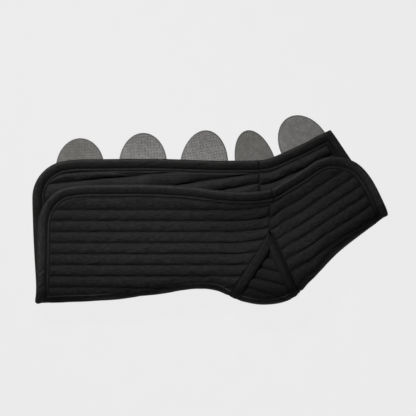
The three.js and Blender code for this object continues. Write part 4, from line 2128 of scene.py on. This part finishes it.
@dataclass
class LegWrap:
    """The whole wrap: panels, bindings, tapes, stitching and tabs on one folded sheet.

    Attributes:
        sheet: Sheet that every piece but the tabs lies on.
        stuffing: Simulation that fills the quilted channels.
    """

    sheet: FoldedSheet
    stuffing: Stuffing

    def fit(
        self, piece: bpy.types.Object, finish: bpy.types.Material, node: str | None = None
    ) -> None:
        """Sets a piece on the floor, gives it its finish and body, and hides the CAD part of its node.

        Args:
            piece: Finished mesh.
            finish: Material of the piece.
            node: CAD node that it stands for, if any.
        """
        place = np.empty(len(piece.data.vertices) * 3)
        piece.data.vertices.foreach_get("co", place)
        place[2::3] = np.maximum(place[2::3], 0.0)
        piece.data.vertices.foreach_set("co", place)
        piece.data.materials.clear()
        piece.data.materials.append(finish)
        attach(piece, "root")
        if node:
            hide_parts(node)
        log.info("%s: %d faces", piece.name, len(piece.data.polygons))

    def panels(self, gusset: GussetCut, leg: FreeEdge, foot: FreeEdge) -> None:
        """Builds the two panels and the gusset, with their quilting stitches.

        Args:
            gusset: Cut for the heel gusset.
            leg: Free edge of the calf end.
            foot: Free edge of the foot end.
        """
        knit = BrushedKnit(
            "black brushed knit",
            dark="#050505",
            pale="#2a2a2a",
            lining="#282828",
            loop=1.2,
            nap=1.0,
            sheen=0.14,
            shine=0.25,
            rough=0.8,
            smooth_rough=0.65,
        )
        cloth = knit.build()
        # Painted shade: the heel gusset gets a darker copy of the same knit, for the shade in its sunk wedge
        heel = replace(knit, name="black brushed knit, heel", pale="#202120").build()
        thread = Thread("black thread", "#050505", "#131313").build()
        quilts = (
            LegPanel("leg_panel", self.sheet, gusset, edge=leg),
            FootPanel("foot_panel", self.sheet, gusset, edge=foot, creased=False),
            HeelGusset("heel_gusset", self.sheet, gusset, sink=3.4),
        )
        for quilt in quilts:
            piece, paths = quilt.build(self.stuffing)
            self.fit(piece, heel if isinstance(quilt, HeelGusset) else cloth, quilt.name)
            stitches = StitchRows(f"{quilt.name}_stitches", paths).build(thread)
            self.fit(stitches, thread)

    def strips(self, gusset: GussetCut, leg: FreeEdge, foot: FreeEdge) -> None:
        """Builds the bindings and tapes, with their stitches.

        Args:
            gusset: Cut for the heel gusset.
            leg: Free edge of the calf end.
            foot: Free edge of the foot end.
        """
        knit = BrushedKnit(
            "black binding knit",
            dark="#060606",
            pale="#363635",
            lining="#323231",
            loop=1.0,
            nap=0.8,
            sheen=0.2,
            shine=0.27,
            rough=0.58,
            smooth_rough=0.6,
        )
        cloth = knit.build()
        tape = replace(
            knit,
            name="black tape knit",
            dark="#050505",
            pale="#272727",
            lining="#272727",
            sheen=0.12,
            shine=0.15,
            rough=0.7,
            smooth_rough=0.7,
        ).build()
        thread = Thread("black seam thread", "#060606", "#171717").build()
        edge = {"width": 15.4, "pad": 8.8, "thin": 2.0, "stitched": (11.2, 14.9)}
        leg_seam = {"side": 1, "seam_side": -1, "width": 14.0, "stitched": (1.0, 13.0), "gap": -1.0}
        foot_seam = {"side": -1, "seam_side": 1, "width": 14.4, "stitched": (3.2, 13.3), "gap": 3.0}
        crown = {"pad": 8.4, "thin": 1.4}
        leg_side = gusset.side(toward_foot=False)
        foot_side = gusset.side(toward_foot=True)
        square = foot.square_rows()
        strips = (
            Binding("leg_binding", self.sheet, leg.path(), side=1, gather=(418.0, 22.0), **edge),
            Binding("foot_binding", self.sheet, foot.path(), side=-1, square_rows=square, **edge),
            SeamTape("gusset_tape_leg", self.sheet, leg_side, **leg_seam, **crown),
            SeamTape("gusset_tape_foot", self.sheet, foot_side, **foot_seam, **crown),
        )
        for strip in strips:
            piece, paths = strip.build()
            self.fit(piece, tape if isinstance(strip, SeamTape) else cloth, strip.name)
            stitches = StitchRows(f"{strip.name}_stitches", paths).build(thread)
            self.fit(stitches, thread)

    def tabs(self) -> None:
        """Builds the five hook tabs.
        """
        # Tip, lean, half width, length of the half-oval end, length shown and curl
        rows = (
            ((-176.3, 98.4), 1.0, 33.0, 41.8, 31.0, 2.0),
            ((-91.0, 105.5), 1.8, 32.5, 43.2, 37.0, 6.0),
            ((-5.5, 108.9), 5.3, 33.0, 51.9, 41.0, 6.0),
            ((46.6, 108.6), -16.3, 27.3, 52.7, 42.0, 2.0),
            ((102.8, 125.8), -31.5, 32.9, 45.3, 41.0, 2.0),
        )
        worn = HookTape("grey hook tape, worn", "#767572", "#a2a09c", "#6d6c69").build()
        fresh = HookTape("grey hook tape", "#878684", "#c0bebb", "#787775").build()
        paler = (2, 3, 5)
        for number, row in enumerate(rows, 1):
            tab = HookTab(f"hook_tab_{number}", *row)
            piece = tab.build()
            self.fit(piece, fresh if number in paler else worn, tab.name)

    def build(self, floor: bpy.types.Object) -> None:
        """Builds every piece in order.

        Args:
            floor: Floor that the wrap lies on; not used.
        """
        calf_corners = Corner(54), Corner(51.5)
        leg = FreeEdge(self.sheet, CALF_END, *calf_corners, front_bow=0.0, back_bow=2.2, flare=3.0)
        foot_corners = Corner(37, deeper=31), Corner(16, square=True)
        foot = FreeEdge(self.sheet, FOOT_END, *foot_corners, front_bow=5.2, back_bow=0.0)
        gusset = GussetCut(self.sheet)
        self.panels(gusset, leg, foot)
        self.strips(gusset, leg, foot)
        self.tabs()


def main() -> None:
    """Builds the studio and the wrap."""
    logging.basicConfig(level=logging.INFO, format="%(name)s %(message)s")
    floor = Studio().build()
    LegWrap(FoldedSheet(), Stuffing()).build(floor)


if __name__ == "__main__":
    main()
